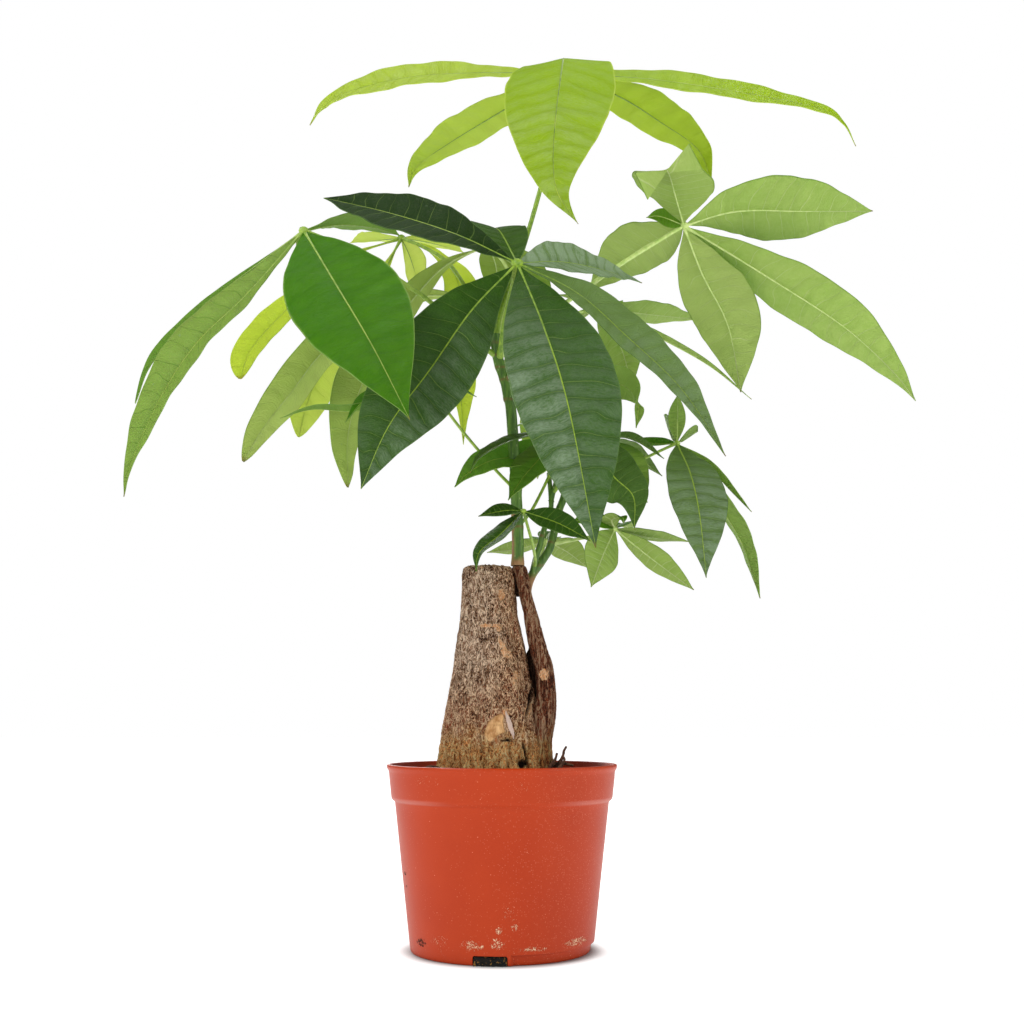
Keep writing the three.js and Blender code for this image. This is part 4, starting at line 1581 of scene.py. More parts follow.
class Tone(Enum):
    """The finishes of the leaves, by age and by the side that the photograph shows."""

    FRESH = "fresh"
    DARK = "dark"
    MID = "mid"
    GREY = "grey"
    PALE = "pale"


class Veins:
    """Where the side veins of a blade run. The mesh carries their count to the materials.

    Lengths are in metres. A vein slants and curls towards the tip on its way out, and sways, and the
    veins of the two halves are staggered.
    """

    SLANT = 0.14
    CURL = 7.0
    STAGGER = 0.42
    SWAY = 0.36

    @classmethod
    def count(cls, across: float, along: float, half: float, gap: float, chance: float) -> float:
        """Counts the side veins from the hub to a place; each vein lies at a whole number.

        Args:
            across: The place across the blade, -1 to 1.
            along: Its distance from the hub.
            half: Half the blade's width there.
            gap: The distance between two veins.
            chance: The leaflet's own number.

        Returns:
            The count.
        """
        out = abs(across) * half
        sway = cls.SWAY * wave(along * 130, across * 1.4, chance * 30)
        return (along - out * cls.SLANT - out * out * cls.CURL) / gap + chance + sway

    @classmethod
    def near(cls, across: float, count: float) -> float:
        """Gives how far a place is from the nearest side vein, 0 on it to 1 between two."""
        part = (count + (across > 0) * cls.STAGGER) % 1
        return 2 * min(part, 1 - part)


@dataclass(frozen=True)
class Skin:
    """One side of a leaf. Its leaflets are tinted from deep, by colour and shade, to bright, partly as their own tone
    and partly as painted light and shade, and some carry a painted sheen.
    """

    name: str
    colour: Colour
    shade: Colour
    deep: Colour
    bright: Colour
    rib: Colour
    vein: Colour
    edge: Colour
    through: Colour
    raised: float = -1.0
    rough: float = 0.38
    vein_share: float = 0.3
    glow: float = 0.3
    rib_wide: float = 0.0006
    gloss: float = 0.25
    crepe: float = 0.0002
    vein_half: float = 0.00036
    net_scale: float = 700
    drop_scale: float = 75
    # Colour of the painted sheen
    painted_sheen_colour: Colour = paint(150, 172, 140)
    dry: Colour = paint(138, 92, 48)

    def dress(self) -> Material:
        """Makes the material."""
        tree = Tree(self.name)
        place = tree.place()
        across, count, half = tree.attribute("blade")
        share, gap, chance = tree.attribute("leaflet")
        tint_and_light, left, right = tree.attribute("tint_and_light")
        out = abs(across) * half
        near = tree.math("PINGPONG", count + (across > 0.0) * Veins.STAGGER, 0.5) * gap
        thin = self.vein_half - abs(across) * 0.0002
        vein = near.step(thin, thin * 0.2)
        rib_edge = self.rib_wide * (1.12 - share * 0.8)
        rib = out.step(rib_edge, rib_edge * 0.5)
        patch = tree.noise(place, 55, 4, 0.6)
        mottle = tree.noise(place, 420, 4, 0.65)
        strokes = tree.noise(tree.vector(out * 170, count * 3.4, chance * 9), 1, 3, 0.6)
        mesh = tree.cells(tree.vector(out, count * gap, chance), self.net_scale, "DISTANCE_TO_EDGE").step(0.07, 0.0)
        between = (near / gap * 2).step(0.08, 0.9)
        tone = patch.step(0.3, 0.72) * 0.35 + mottle.step(0.3, 0.7) * 0.35 + strokes.step(0.3, 0.7) * 0.3
        base = tree.mix(tone, self.colour, self.shade)
        # Tint towards the bright or deep colours: partly the leaflet's own tone, partly painted light and shade
        shaded = (tint_and_light * -1).high(0.0)
        base = tree.mix(tint_and_light.high(0.0), base, self.bright)
        base = tree.mix(shaded, base, self.deep)
        # Painted sheen: a pale grey or whitish sheen between the veins on either half of a leaflet, growing towards
        # the tip
        here = left + (right - left) * (across > 0.0)
        crinkle = tree.noise(tree.vector(across * half * 420, count * 13, chance * 9), 1, 3, 0.65).step(0.34, 0.66)
        sheen = here * between.step(-0.45, 0.6) * (crinkle * 0.7 + patch.step(0.35, 0.65) * 0.7 + 0.2)
        base = tree.mix(sheen * (share + here * 0.5).step(0.25, 0.75), base, self.painted_sheen_colour)
        # Painted shade: darker along the midrib; the crinkle adds a little of the leaf's own darker texture
        base = tree.mix(crinkle * 0.06 + out.step(0.006, 0.0) * 0.12, base, self.deep)
        drops = tree.cells(place, self.drop_scale).step(0.075, 0.05) * patch.step(0.45, 0.6)
        base = tree.mix(drops * 0.3, base, self.painted_sheen_colour)
        base = tree.mix(mesh * 0.1, base, self.vein)
        strong = tree.noise(tree.vector(chance * 7, count * 0.9, across), 1, 2, 0.5).step(0.3, 0.6)
        base = tree.mix(vein * self.vein_share * (0.45 + strong * 0.55), base, self.vein)
        base = tree.mix(rib * 0.95, base, self.rib)
        rim = abs(across).step(0.965, 0.99)
        base = tree.mix(rim * 0.7, base, self.edge)
        tip = share.step(0.975, 0.997) * chance.step(0.3, 0.6)
        base = tree.mix(tip * 0.7, base, self.dry)
        height = (vein * 0.0002 + rib * 0.0003 + mesh * 0.00003) * self.raised
        height = height + mottle * 0.00014 + between * 0.0003 + crinkle * self.crepe
        rough = self.rough - 0.06 + mottle * 0.16 + rib * 0.1 + shaded * 0.25
        shader = tree.surface(base, rough, height, self.gloss)
        light = tree.value("ShaderNodeBsdfTranslucent", None, {"Color": self.through})
        return tree.finish(tree.value("ShaderNodeMixShader", None, {0: self.glow, 1: shader, 2: light}))


@dataclass(frozen=True)
class Stalk:
    """The skin of petioles, hubs and ribs."""

    name: str
    colour: Colour
    shade: Colour
    rough: float = 0.42

    def dress(self) -> Material:
        """Makes the material."""
        tree = Tree(self.name)
        streaks = tree.noise(tree.place(), 420, 3, 0.6)
        base = tree.mix(streaks.step(0.3, 0.75), self.colour, self.shade)
        return tree.finish(tree.surface(base, self.rough, streaks * 0.00008))


@dataclass(frozen=True)
class LeafFinish:
    """Both sides of a leaf, its stalks, and how strongly it swells between the veins."""

    upper: Skin
    under: Skin
    stalk: Stalk
    swell: float

    def dress(self) -> tuple[Material, Material, Material]:
        """Makes the three materials."""
        return self.upper.dress(), self.under.dress(), self.stalk.dress()


FINISHES: dict[Tone, LeafFinish] = {
    Tone.FRESH: LeafFinish(
        Skin(
            "fresh_upper", colour=paint(160, 190, 4), shade=paint(138, 174, 0), deep=paint(112, 150, 0),
            bright=paint(206, 216, 84), rib=paint(216, 230, 96), vein=paint(196, 214, 84), edge=paint(206, 220, 96),
            through=paint(196, 226, 0), rough=0.3, vein_share=0.34, glow=0.3, gloss=0.06, painted_sheen_colour=paint(240, 246, 190),
            rib_wide=0.0008,
        ),
        Skin(
            "fresh_under", colour=paint(196, 216, 66), shade=paint(176, 202, 44), deep=paint(120, 160, 10),
            bright=paint(240, 246, 140), rib=paint(206, 218, 120), vein=paint(204, 218, 110),
            edge=paint(206, 220, 110), through=paint(235, 250, 60), raised=1.0, rough=0.5, vein_share=0.4, glow=0.5,
            gloss=0.12,
        ),
        Stalk("fresh_stalk", paint(136, 166, 46), paint(98, 132, 32)),
        0.36,
    ),
    Tone.DARK: LeafFinish(
        Skin(
            "dark_upper", colour=paint(58, 98, 18), shade=paint(40, 76, 8), deep=paint(22, 50, 0),
            bright=paint(128, 158, 84), rib=paint(176, 208, 60), vein=paint(130, 160, 74), edge=paint(92, 124, 60),
            through=paint(90, 160, 10), rough=0.36, vein_share=0.5, glow=0.12, gloss=0.16,
        ),
        Skin(
            "dark_under", colour=paint(112, 148, 66), shade=paint(88, 126, 44), deep=paint(60, 96, 20),
            bright=paint(170, 192, 110), rib=paint(170, 192, 110), vein=paint(156, 180, 104),
            edge=paint(138, 160, 90), through=paint(130, 190, 20), raised=1.0, rough=0.52, vein_share=0.5, glow=0.2,
            gloss=0.2,
        ),
        Stalk("dark_stalk", paint(150, 180, 60), paint(100, 138, 40)),
        0.6,
    ),
    Tone.MID: LeafFinish(
        Skin(
            "mid_upper", colour=paint(84, 138, 6), shade=paint(62, 118, 0), deep=paint(34, 80, 0),
            bright=paint(166, 186, 90), rib=paint(208, 222, 110), vein=paint(64, 112, 10), edge=paint(150, 180, 90),
            through=paint(124, 196, 0), rough=0.36, vein_share=0.44, glow=0.25, gloss=0.18,
        ),
        Skin(
            "mid_under", colour=paint(140, 172, 76), shade=paint(112, 150, 50), deep=paint(80, 120, 30),
            bright=paint(176, 196, 104), rib=paint(184, 206, 120), vein=paint(164, 190, 104),
            edge=paint(156, 182, 96), through=paint(140, 215, 0), raised=1.0, rough=0.52, vein_share=0.5, glow=0.36,
            gloss=0.14,
        ),
        Stalk("mid_stalk", paint(160, 188, 76), paint(118, 154, 50)),
        0.22,
    ),
    Tone.GREY: LeafFinish(
        Skin(
            "grey_upper", colour=paint(120, 156, 50), shade=paint(92, 132, 30), deep=paint(60, 100, 14),
            bright=paint(182, 204, 90), rib=paint(190, 210, 110), vein=paint(150, 180, 90), edge=paint(150, 178, 90),
            through=paint(150, 205, 10), rough=0.42, vein_share=0.34, glow=0.26, gloss=0.2,
        ),
        Skin(
            "grey_under", colour=paint(172, 198, 88), shade=paint(146, 178, 64), deep=paint(96, 132, 50),
            bright=paint(204, 220, 120), rib=paint(210, 222, 150), vein=paint(196, 212, 130),
            edge=paint(130, 158, 60), through=paint(190, 225, 20), raised=1.0, rough=0.5, vein_share=0.5, glow=0.34,
            gloss=0.18,
        ),
        Stalk("grey_stalk", paint(200, 216, 136), paint(168, 192, 98)),
        0.3,
    ),
    Tone.PALE: LeafFinish(
        Skin(
            "pale_upper", colour=paint(104, 154, 34), shade=paint(78, 130, 18), deep=paint(50, 96, 6),
            bright=paint(150, 184, 70), rib=paint(190, 212, 100), vein=paint(140, 176, 74), edge=paint(146, 178, 78),
            through=paint(150, 205, 10), rough=0.38, vein_share=0.34, glow=0.26, gloss=0.2,
        ),
        Skin(
            "pale_under", colour=paint(184, 208, 112), shade=paint(162, 194, 90), deep=paint(112, 148, 58),
            bright=paint(196, 214, 124), rib=paint(222, 232, 168), vein=paint(216, 228, 160),
            edge=paint(112, 146, 54), through=paint(180, 220, 30), raised=1.0, rough=0.56, vein_share=0.6, glow=0.3,
            gloss=0.16,
        ),
        Stalk("pale_stalk", paint(200, 218, 136), paint(164, 194, 96)),
        0.26,
    ),
}


@dataclass(frozen=True)
class Leaflet:
    """One blade: its midrib from the hub, its width, its turn and fold, and where it is widest."""

    rib: tuple[Point, ...]
    wide: float
    turn: float = 0
    fold: float = 8
    peak: float = 0.45

    def line(self) -> Line:
        """Gives the line of the midrib, from the hub."""
        return Line([(0, 0, 0), *self.rib])

    def across(self) -> Vector:
        """Gives the direction across the blade."""
        chord = Vector(self.rib[-1]).normalized()
        across = chord.cross(UP).normalized()
        across.rotate(Quaternion(chord, math.radians(self.turn)))
        return across


@dataclass(frozen=True)
class Leaf:
    """One palmate leaf: its hub, the petiole from there to the stem, and its leaflets."""

    hub: Point
    size: float
    tone: Tone
    petiole: tuple[Point, ...]
    leaflets: tuple[Leaflet, ...]

    @classmethod
    def of(cls, hub: Point, size: float, tone: Tone, petiole: tuple[Point, ...], *rows: tuple) -> Leaf:
        """Makes a leaf from the table.

        Args:
            hub: Where its leaflets meet.
            size: Radius of the knob there.
            tone: Its finish.
            petiole: Points of its petiole, from the hub to the stem.
            *rows: For each leaflet its midrib from the hub, width, turn, fold and widest place.

        Returns:
            The leaf.
        """
        return cls(hub, size, tone, petiole, tuple(Leaflet(*row) for row in rows))


LEAVES: dict[str, Leaf] = {
    "leaf_top": Leaf.of(
        (34, 8, 483), 3.4, Tone.FRESH, ((30, 7, 452), (21, 6, 412), (10, 5, 373), (-1, 2, 340), (-4, 0, 321)),
        (((-47, 4, 3), (-88, 11, 4), (-123, 16, -2), (-139, 19, -10), (-148, 20, -22)), 43, -44, 4, 0.6),
        (((-34, 22, -11), (-66, 46, -20), (-88, 60, -30), (-93, 64, -42)), 38, -2, 4, 0.52),
        (((-1, -42, -13), (-6, -68, -56), (-8, -81, -88), (-6, -88, -108), (4, -92, -126)), 59, 6, -8, 0.41),
        (((34, 22, -2), (61, 40, -10), (85, 52, -22), (94, 56, -42)), 43, 4, 4, 0.5),
        (((51, 2, -2), (102, 0, -11), (146, -1, -21), (160, -2, -31), (167, -2, -45)), 35, 44, 4),
        (((1, 54, -8), (0, 96, -34)), 34, 0, 12),
    ),
    "leaf_centre": Leaf.of(
        (8, -45, 351), 3.6, Tone.DARK, ((6, -34, 345), (1, -14, 328), (-2, 0, 311)),
        (((-31, -1, 15), (-66, 5, 29), (-104, 15, 42)), 41, -47, 8, 0.54),
        (((-10, 37, 32), (-16, 72, 44), (-18, 98, 44)), 30, 0, 10),
        (((23, 12, 5), (47, 28, 6), (69, 40, 3)), 38, 44, 10),
        (((30, -7, -18), (55, -13, -43), (82, -15, -71), (104, -13, -105)), 34, 40, 12, 0.47),
        (((13, -25, -42), (24, -43, -86), (36, -53, -156)), 56, 27, 8, 0.43),
        (((-23, -7, -27), (-44, -15, -61), (-64, -19, -91), (-77, -21, -123)), 47, -74, 8, 0.52),
        (((-1, -4, -8), (-1, -7, -16)), 4, 0, 0),
    ),
    "leaf_left": Leaf.of(
        (-104, -42, 370), 3, Tone.MID,
        ((-75, -34, 360), (-53, -26, 347), (-39, -18, 339), (-16, -6, 322), (-2.5, 0, 313)),
        (((-23, 6, -15), (-52, 12, -36), (-80, 18, -63), (-91, 22, -88)), 13, -50, 10, 0.68),
        (((-29, 0, -35), (-54, 2, -60), (-72, 4, -88), (-86, 5, -122), (-90, 6, -141)), 36, -52, 14, 0.5),
        (((19, -20, -34), (41, -38, -73), (61, -50, -113)), 59, 44, 6),
        (((15, 20, 11), (30, 50, 21), (44, 76, 26)), 32, -8, 12),
        (((4, 14, -10), (14, 22, -36)), 26, 0, 12),
    ),
    "leaf_right": Leaf.of(
        (101, 0, 389), 3, Tone.PALE, ((82, 0, 377), (65, 0, 366), (36, 0, 345), (8, 0.5, 322), (-2, 0, 313)),
        (((-7, -22, 8), (-14, -46, 12), (-16, -30, 16)), 45, -10, 4, 0.56),
        (((-14, -8, 2), (-22, -12, 0)), 11, -88, 8),
        (((29, -6, 6), (67, -6, 6), (105, -4, 7)), 48, -25, 3, 0.5),
        (((46, 10, -25), (92, 20, -52), (121, 26, -77), (134, 28, -94)), 41, -20, 6, 0.5),
        (((12, 15, -23), (28, 27, -50), (36, 36, -87)), 43, -9, 8, 0.49),
        (((-22, 20, -6), (-38, 34, -14), (-52, 44, -25)), 40, 18, 5, 0.43),
    ),
    "leaf_back_left": Leaf.of(
        (-62, 62, 405), 2.8, Tone.FRESH,
        ((-47, 52, 395), (-33, 40, 382), (-22, 24, 362), (-11, 10, 337), (-3.6, 0, 318)),
        (((-31, -2, -13), (-61, -8, -42), (-85, -14, -72), (-91, -18, -93)), 28, -44, 10, 0.76),
        (((-16, -5, -35), (-41, -9, -75), (-52, -12, -103), (-57, -15, -127)), 34, 58, 8, 0.68),
        (((20, 4, -9), (35, 1, -30), (36, -4, -78), (39, -8, -130)), 38, 25, 8, 0.46),
        (((6, -2, -13), (14, -8, -40)), 22, -66, 8, 0.5),
        (((-15, 22, 7), (-37, 46, 14)), 24, 0, 10),
        (((16, 24, 6), (36, 50, 9)), 28, 0, 10),
    ),
    "leaf_mid_left": Leaf.of(
        (-8, 22, 386), 2.6, Tone.GREY, ((2, 21, 372), (4, 17, 358), (0, 10, 340), (-1.5, 5, 326), (-3, 0, 316)),
        (((-29, -8, -19), (-60, -22, -67), (-75, -26, -112), (-75, -28, -147)), 37, 50, 8, 0.66),
        (((4, 34, -4), (4, 62, -20)), 20, 0, 10),
        (((20, 30, -4), (40, 54, -22)), 26, 0, 10),
    ),
    "leaf_inner": Leaf.of(
        (1, 40, 354), 2.6, Tone.GREY, ((4, 24, 337), (3.5, 10, 320), (0, 0, 306)),
        (((-49, -3, 6), (-97, -14, -24), (-122, -18, -57), (-136, -20, -77), (-146, -21, -96)), 31, 36, 8, 0.7),
        (((12, 30, 6), (26, 58, -6)), 26, 0, 10),
        (((22, 14, 2), (40, 24, -12)), 20, 0, 10),
    ),
    "leaf_mid_right": Leaf.of(
        (55, 40, 355), 2.4, Tone.PALE, ((33, 24, 341), (13, 9, 317), (1.4, 0, 299)),
        (((26, 10, -1), (65, 26, 0)), 26, -12, 4),
        (((35, 6, -16), (66, 12, -32), (92, 16, -52)), 9, 9, 24, 0.4),
        (((13, 2, -22), (21, 6, -48)), 28, -30, 8),
        (((-11, -6, 2), (-24, -10, 4)), 9, 0, 10),
        (((-7, -4, -6), (-15, -8, -8)), 9, 27, 10),
        (((6, 36, 11), (13, 68, 14)), 26, 0, 10),
    ),
    "leaf_low_left": Leaf.of(
        (-39, -22, 288), 2.2, Tone.MID, ((-33, -14, 284), (-20, 9, 271), (-4, 14, 253), (7.4, 1, 239)),
        (((-36, -6, -11), (-60, -8, -11), (-77, -9, -16)), 14, 0, 16),
        (((-22, -8, -4), (-33, -12, -8), (-42, -16, -20)), 14, -33, 20),
        (((14, 12, 5), (25, 22, 3)), 12, 35, 10),
        (((2, -12, -8), (-1, -20, -20)), 12, 58, 10),
    ),
    "leaf_low_mid": Leaf.of(
        (31, 8, 271), 2.2, Tone.DARK, ((29, 8, 257), (24, 7, 245), (15.6, 5, 228.4), (8, 0, 219)),
        (((-21, -6, -12), (-37, -10, -16), (-49, -12, -23), (-57, -12, -31)), 27, -40, 8, 0.5),
        (((-16, -18, -4), (-31, -26, -10), (-43, -30, -18), (-48, -32, -27)), 16, -12, 10),
        (((-11, -16, -16), (-20, -24, -28), (-28, -30, -41)), 26, -14, 6),
        (((-12, 12, 12), (-25, 26, 10)), 20, -36, 8),
        (((10, 20, -2), (22, 36, -14)), 20, 0, 10),
    ),
    "leaf_low_centre": Leaf.of(
        (50, 0, 267), 2.2, Tone.DARK, ((44, 1, 259), (36, 4, 250), (27.8, 6.6, 239)),
        (((4, -4, 26), (15, -6, 29), (23, -8, 19), (22, -10, 4)), 20, -62, 8, 0.5),
        (((19, -4, 0), (37, -8, -12)), 12, 28, 14),
        (((21, 22, -2), (40, 28, -15)), 18, -7, 8),
        (((15, -8, -13), (27, -14, -37)), 26, 32, 6),
        (((8, -20, -23), (18, -28, -36), (18, -32, -54)), 28, 48, 6),
    ),
    "leaf_far_right": Leaf.of(
        (96, 10, 267), 2.2, Tone.MID, ((87, 11, 263), (74, 12, 257), (54, 13, 249), (36, 10.3, 243)),
        (((0, -4, 12), (0, -8, 26)), 11, 20, 6, 0.5),
        (((-3, 6, 8), (-5, 12, 19)), 15, 60, 6, 0.6),
        (((6, 4, 5), (13, 10, 9)), 14, -30, 6, 0.6),
        (((5, -16, -20), (8, -26, -44), (10, -32, -78)), 34, 0, 8),
        (((17, 4, -11), (30, 6, -25), (42, 8, -37)), 11, 3, 16, 0.48),
        (((16, 10, -19), (27, 14, -35), (39, 20, -55), (48, 22, -84)), 22, 9, 14, 0.52),
        (((-11, 6, 1), (-24, 10, 5)), 12, -32, 14),
    ),
    "leaf_low_front": Leaf.of(
        (11, -36, 222), 2, Tone.DARK, ((13, -30, 216), (16, -14, 208), (17.6, 2, 202), (17, 8, 198)),
        (((-9, -2, 0), (-23, -4, -3)), 13, -36, 8),
        (((-12, -6, -13), (-22, -10, -22), (-24, -10, -32)), 17, -17, 8),
        (((18, -4, -7), (34, -6, -16)), 20, 40, 8),
    ),
    "leaf_low_right": Leaf.of(
        (61, 6, 219), 2, Tone.PALE, ((53, 8, 216), (38, 9, 213), (26.4, 10, 211)),
        (((-2, -6, 4), (3, -10, 5), (4, -12, 1)), 12, 0, 8),
        (((-11, -6, 4), (-24, -12, 2)), 15, -49, 8),
        (((-7, -6, -15), (-14, -10, -33)), 24, 89, 6),
        (((20, 2, -16), (43, 4, -33)), 18, -32, 8, 0.5),
        (((19, 4, -4), (42, 8, -6)), 16, -12, 8),
        (((6, 22, 6), (13, 42, 5)), 16, 0, 8),
    ),
    "leaf_low_back": Leaf.of(
        (24, 34, 216), 2, Tone.PALE, ((22, 24, 208), (19, 10, 199)),
        (((-15, 2, -4), (-33, 4, -6)), 16, 21, 8),
        (((12, 6, -5), (25, 12, -14)), 21, -23, 8),
        (((1, 24, 4), (2, 46, 2)), 18, 0, 8),
        (((4, 16, 7), (18, 32, 8)), 14, 0, 8),
    ),
    "leaf_rear": Leaf.of(
        (29, 44, 288), 2.4, Tone.GREY, ((29, 34, 276), (27, 18, 260), (25.5, 9.2, 248)),
        (((2, 34, 8), (4, 70, -14)), 28, 0, 10),
        (((-6, 26, 8), (-15, 54, -14)), 24, 0, 10),
        (((12, 26, 6), (24, 56, -16)), 26, 0, 10),
        (((4, 16, -10), (8, 28, -38)), 20, 0, 10),
        (((-5, 8, -10), (-9, 16, -32)), 18, 0, 10),
    ),
}

# How bright each leaflet is, from -1, deep, to 1, bright, in the order of the table above: partly the leaflet's own
# tone, partly painted light and shade
TINTS_AND_PAINTED_LIGHT: dict[str, tuple[float, ...]] = {
    "leaf_top": (0.4, 0.35, -0.3, 0.1, 0.1, 0),
    "leaf_centre": (-1, 0, 0.4, 0.6, -0.1, -0.2, 1),
    "leaf_left": (0.3, 0.65, -0.1, 0.2, 0.2),
    "leaf_right": (0.2, 0.2, 0, 0, 0.6, 0.6),
    "leaf_back_left": (0.7, 1, 1, 1, 0.7, 0.7),
    "leaf_mid_left": (0.8, 0.4, 0.4),
    "leaf_inner": (1, 0.4, 0.4),
    "leaf_far_right": (0.4, 0.4, 0.4, 0.45, 0.3, 0.5, 0.2),
    "leaf_low_mid": (0.3, 0.3, 0.3, 0.3, 0.2),
    "leaf_low_centre": (0.6, 0.4, 0.2, 0.6, 0.2),
}

# Leaflets with a painted grey sheen on their left and right halves, by leaf and place in the table
PAINTED_SHEENS: dict[tuple[str, int], tuple[float, float]] = {
    ("leaf_centre", 4): (0.2, 0.46),
    ("leaf_centre", 3): (0.2, 0.3),
    ("leaf_centre", 5): (0.3, 0.12),
    ("leaf_centre", 2): (1.5, 1.5),
    ("leaf_far_right", 3): (0.5, 0.4),
    ("leaf_top", 0): (0.12, 0.12),
    ("leaf_top", 1): (0.2, 0.12),
    ("leaf_top", 2): (0.14, 0.16),
}

# Leaflets in the finish of another age than the rest of their leaf
AGES: dict[tuple[str, int], Tone] = {
    ("leaf_centre", 6): Tone.MID,
    ("leaf_far_right", 3): Tone.DARK,
    ("leaf_low_mid", 0): Tone.MID,
    ("leaf_low_mid", 2): Tone.MID,
    ("leaf_low_mid", 3): Tone.MID,
    ("leaf_low_centre", 0): Tone.MID,
    ("leaf_low_centre", 3): Tone.MID,
}

# Leaflets slimmer near the hub than the rest: share of the width, and where they are widest
SLIM: dict[tuple[str, int], tuple[float, float]] = {("leaf_centre", 4): (0.95, 0.5)}


@dataclass
class Foliage:
    """Builds the leaves of the tables above, over the same lines as the CAD leaves."""

    seed: int = 5
    thick: float = 0.42
    fullness: float = 2.6
    root: float = 1.0
    end: float = 0.997
    stalk_half: float = 0.75
    tip_half: float = 0.12
    row_long: float = 1.5
    rows: tuple[int, int] = (26, 110)
    column_wide: float = 4
    columns: tuple[int, int] = (4, 12)
    groove_deep: float = 0.25
    groove_half: float = 1.3
    rib_end: float = 0.985
    rib_steps: int = 14
    rib_sides: int = 8
    rib_row: float = 3
    knob_share: float = 0.86
    petiole_radius: float = 1.25
    petiole_foot: float = 1.5
    petiole_sides: int = 16
    petiole_row: float = 2.2
    crease: float = 52
    blanks: dict[tuple[int, int], Object] = field(default_factory=dict)

    def outline(self, share: float, peak: float) -> float:
        """Gives the half width at a share of the length, as a share of the widest."""
        share = clamp(share)
        rise, fall = self.fullness * peak, self.fullness * (1 - peak)
        return (share / peak) ** rise * ((1 - share) / (1 - peak)) ** fall

    def blank(self, columns: int, rows: int) -> Object:
        """Gives the flat leaflet of that many columns and rows, made once."""
        if (columns, rows) not in self.blanks:
            self.blanks[columns, rows] = Bench.sheet(f"leaflet_blank_{columns}_{rows}", columns, rows)
        return self.blanks[columns, rows]

    def blade(
        self, leaflet: Leaflet, swell: float, chance: float, tint_and_light: Point, slim: tuple[float, float]
    ) -> Object:
        """Lays a flat leaflet along its midrib.

        Args:
            leaflet: The leaflet.
            swell: How strongly it swells between the veins.
            chance: A number from 0 to 1 that is this leaflet's own.
            tint_and_light: How bright it is, from -1 to 1, partly its own tone and partly painted light and shade,
                and how much painted sheen its left and right halves have.
            slim: Share of its width, and where it is widest.

        Returns:
            The blade, one sheet with its upper side outwards.
        """
        line, across = leaflet.line(), leaflet.across()
        long = line.length
        rows = int(clamp(long / self.row_long, *self.rows))
        columns = 2 * int(clamp(leaflet.wide / self.column_wide, *self.columns))
        blank = self.blank(columns, rows)
        gap = long / (8 + long / 17)
        fold = math.radians(leaflet.fold)
        stations = []
        for row in range(rows + 1):
            share = lerp(self.root / long, self.end, row / rows)
            least = self.stalk_half if share < leaflet.peak else self.tip_half
            half = max(self.outline(share, slim[1]) * slim[0] * leaflet.wide / 2, least)
            stations.append((share, *line.upright(share, across), half))
        points, blades, marks = [], [], []
        ruffle = min(0.5, leaflet.wide / 80)
        rate = TURN / max(18.0, long / 4.2)
        for vertex in blank.data.vertices:
            x, y = vertex.co.x, vertex.co.y
            share, middle, side, up, half = stations[round((y + 1) / 2 * rows)]
            place = share * long
            reach = abs(x)
            count = Veins.count(x, place * MM, half * MM, gap * MM, chance)
            hump = 1 - (1 - Veins.near(x, count)) ** 2
            plump = swell * 0.06 * gap * (hump - 0.55) * ease(0.02, 0.3, reach) * ease(1.05, 0.6, reach)
            plump *= min(1.0, half / 9) * (1 + 0.9 * wave(place * 0.06, x * 1.5, chance * 20))
            turn = chance * 40 + (3.1 if x > 0 else 0.0)
            wavy = reach**2.2 * math.sin(place * rate + turn)
            wavy += 0.4 * reach**3 * math.sin(place * rate * 2.3 + turn * 1.7)
            wavy *= ruffle * min(1.0, half / 8)
            lift = half * math.sin(fold) * (1.4 * reach - 0.4 * reach * reach)
            groove = self.groove_deep * bell(reach * half, self.groove_half)
            wide = half * math.cos(fold) * x * (1 + 0.022 * wave(place * 0.09, turn, 2) * reach)
            points.append(middle + side * wide + up * (lift + plump + wavy - groove))
            blades.append((x, count, half * MM))
            marks.append((share, gap * MM, chance))
        piece = Bench.copy("blade", blank)
        Bench.place(piece, points)
        Bench.mark(piece, "blade", blades)
        Bench.mark(piece, "leaflet", marks)
        Bench.mark(piece, "tint_and_light", [tint_and_light] * len(points))
        return piece

    def rib(self, leaflet: Leaflet) -> Object:
        """Builds the stalk of a leaflet and the rib that runs on under its blade.

        Args:
            leaflet: The leaflet.

        Returns:
            The stalk and rib, as one tube.
        """
        line, across = leaflet.line(), leaflet.across()
        stout = 0.42 + 0.5 * min(1.0, line.length / 110)

        def radius(share: float) -> float:
            """Gives the radius: thick at the hub, then a taper to the tip."""
            return stout * (0.16 + 0.6 * (1 - share) + 0.6 * ease(0.075, 0.0, share))

        low = []
        for i in range(self.rib_steps + 1):
            share = i / self.rib_steps * self.rib_end
            middle, _, up = line.upright(share, across)
            low.append(middle - up * radius(share) * (0.42 + 0.4 * ease(0.05, 0.5, share)))
        return Bench.tube("rib", Line(low), radius, self.rib_sides, max(16, round(line.length / self.rib_row)))

    def knob(self, leaf: Leaf) -> Object:
        """Builds the small knob that the leaflets grow from.

        Args:
            leaf: The leaf.

        Returns:
            The knob, about the hub.
        """
        Bench.clear()
        bpy.ops.mesh.primitive_uv_sphere_add(segments=24, ring_count=14, radius=1)
        piece = Bench.made("knob")
        size = leaf.size * self.knob_share
        points = []
        for vertex in piece.data.vertices:
            x, y, z = vertex.co
            lump = 1 + 0.14 * wave(x * 2.2 + size, y * 2.2, z * 2.2)
            points.append(Vector((x, y, z * 0.78)) * size * lump)
        Bench.place(piece, points)
        return piece

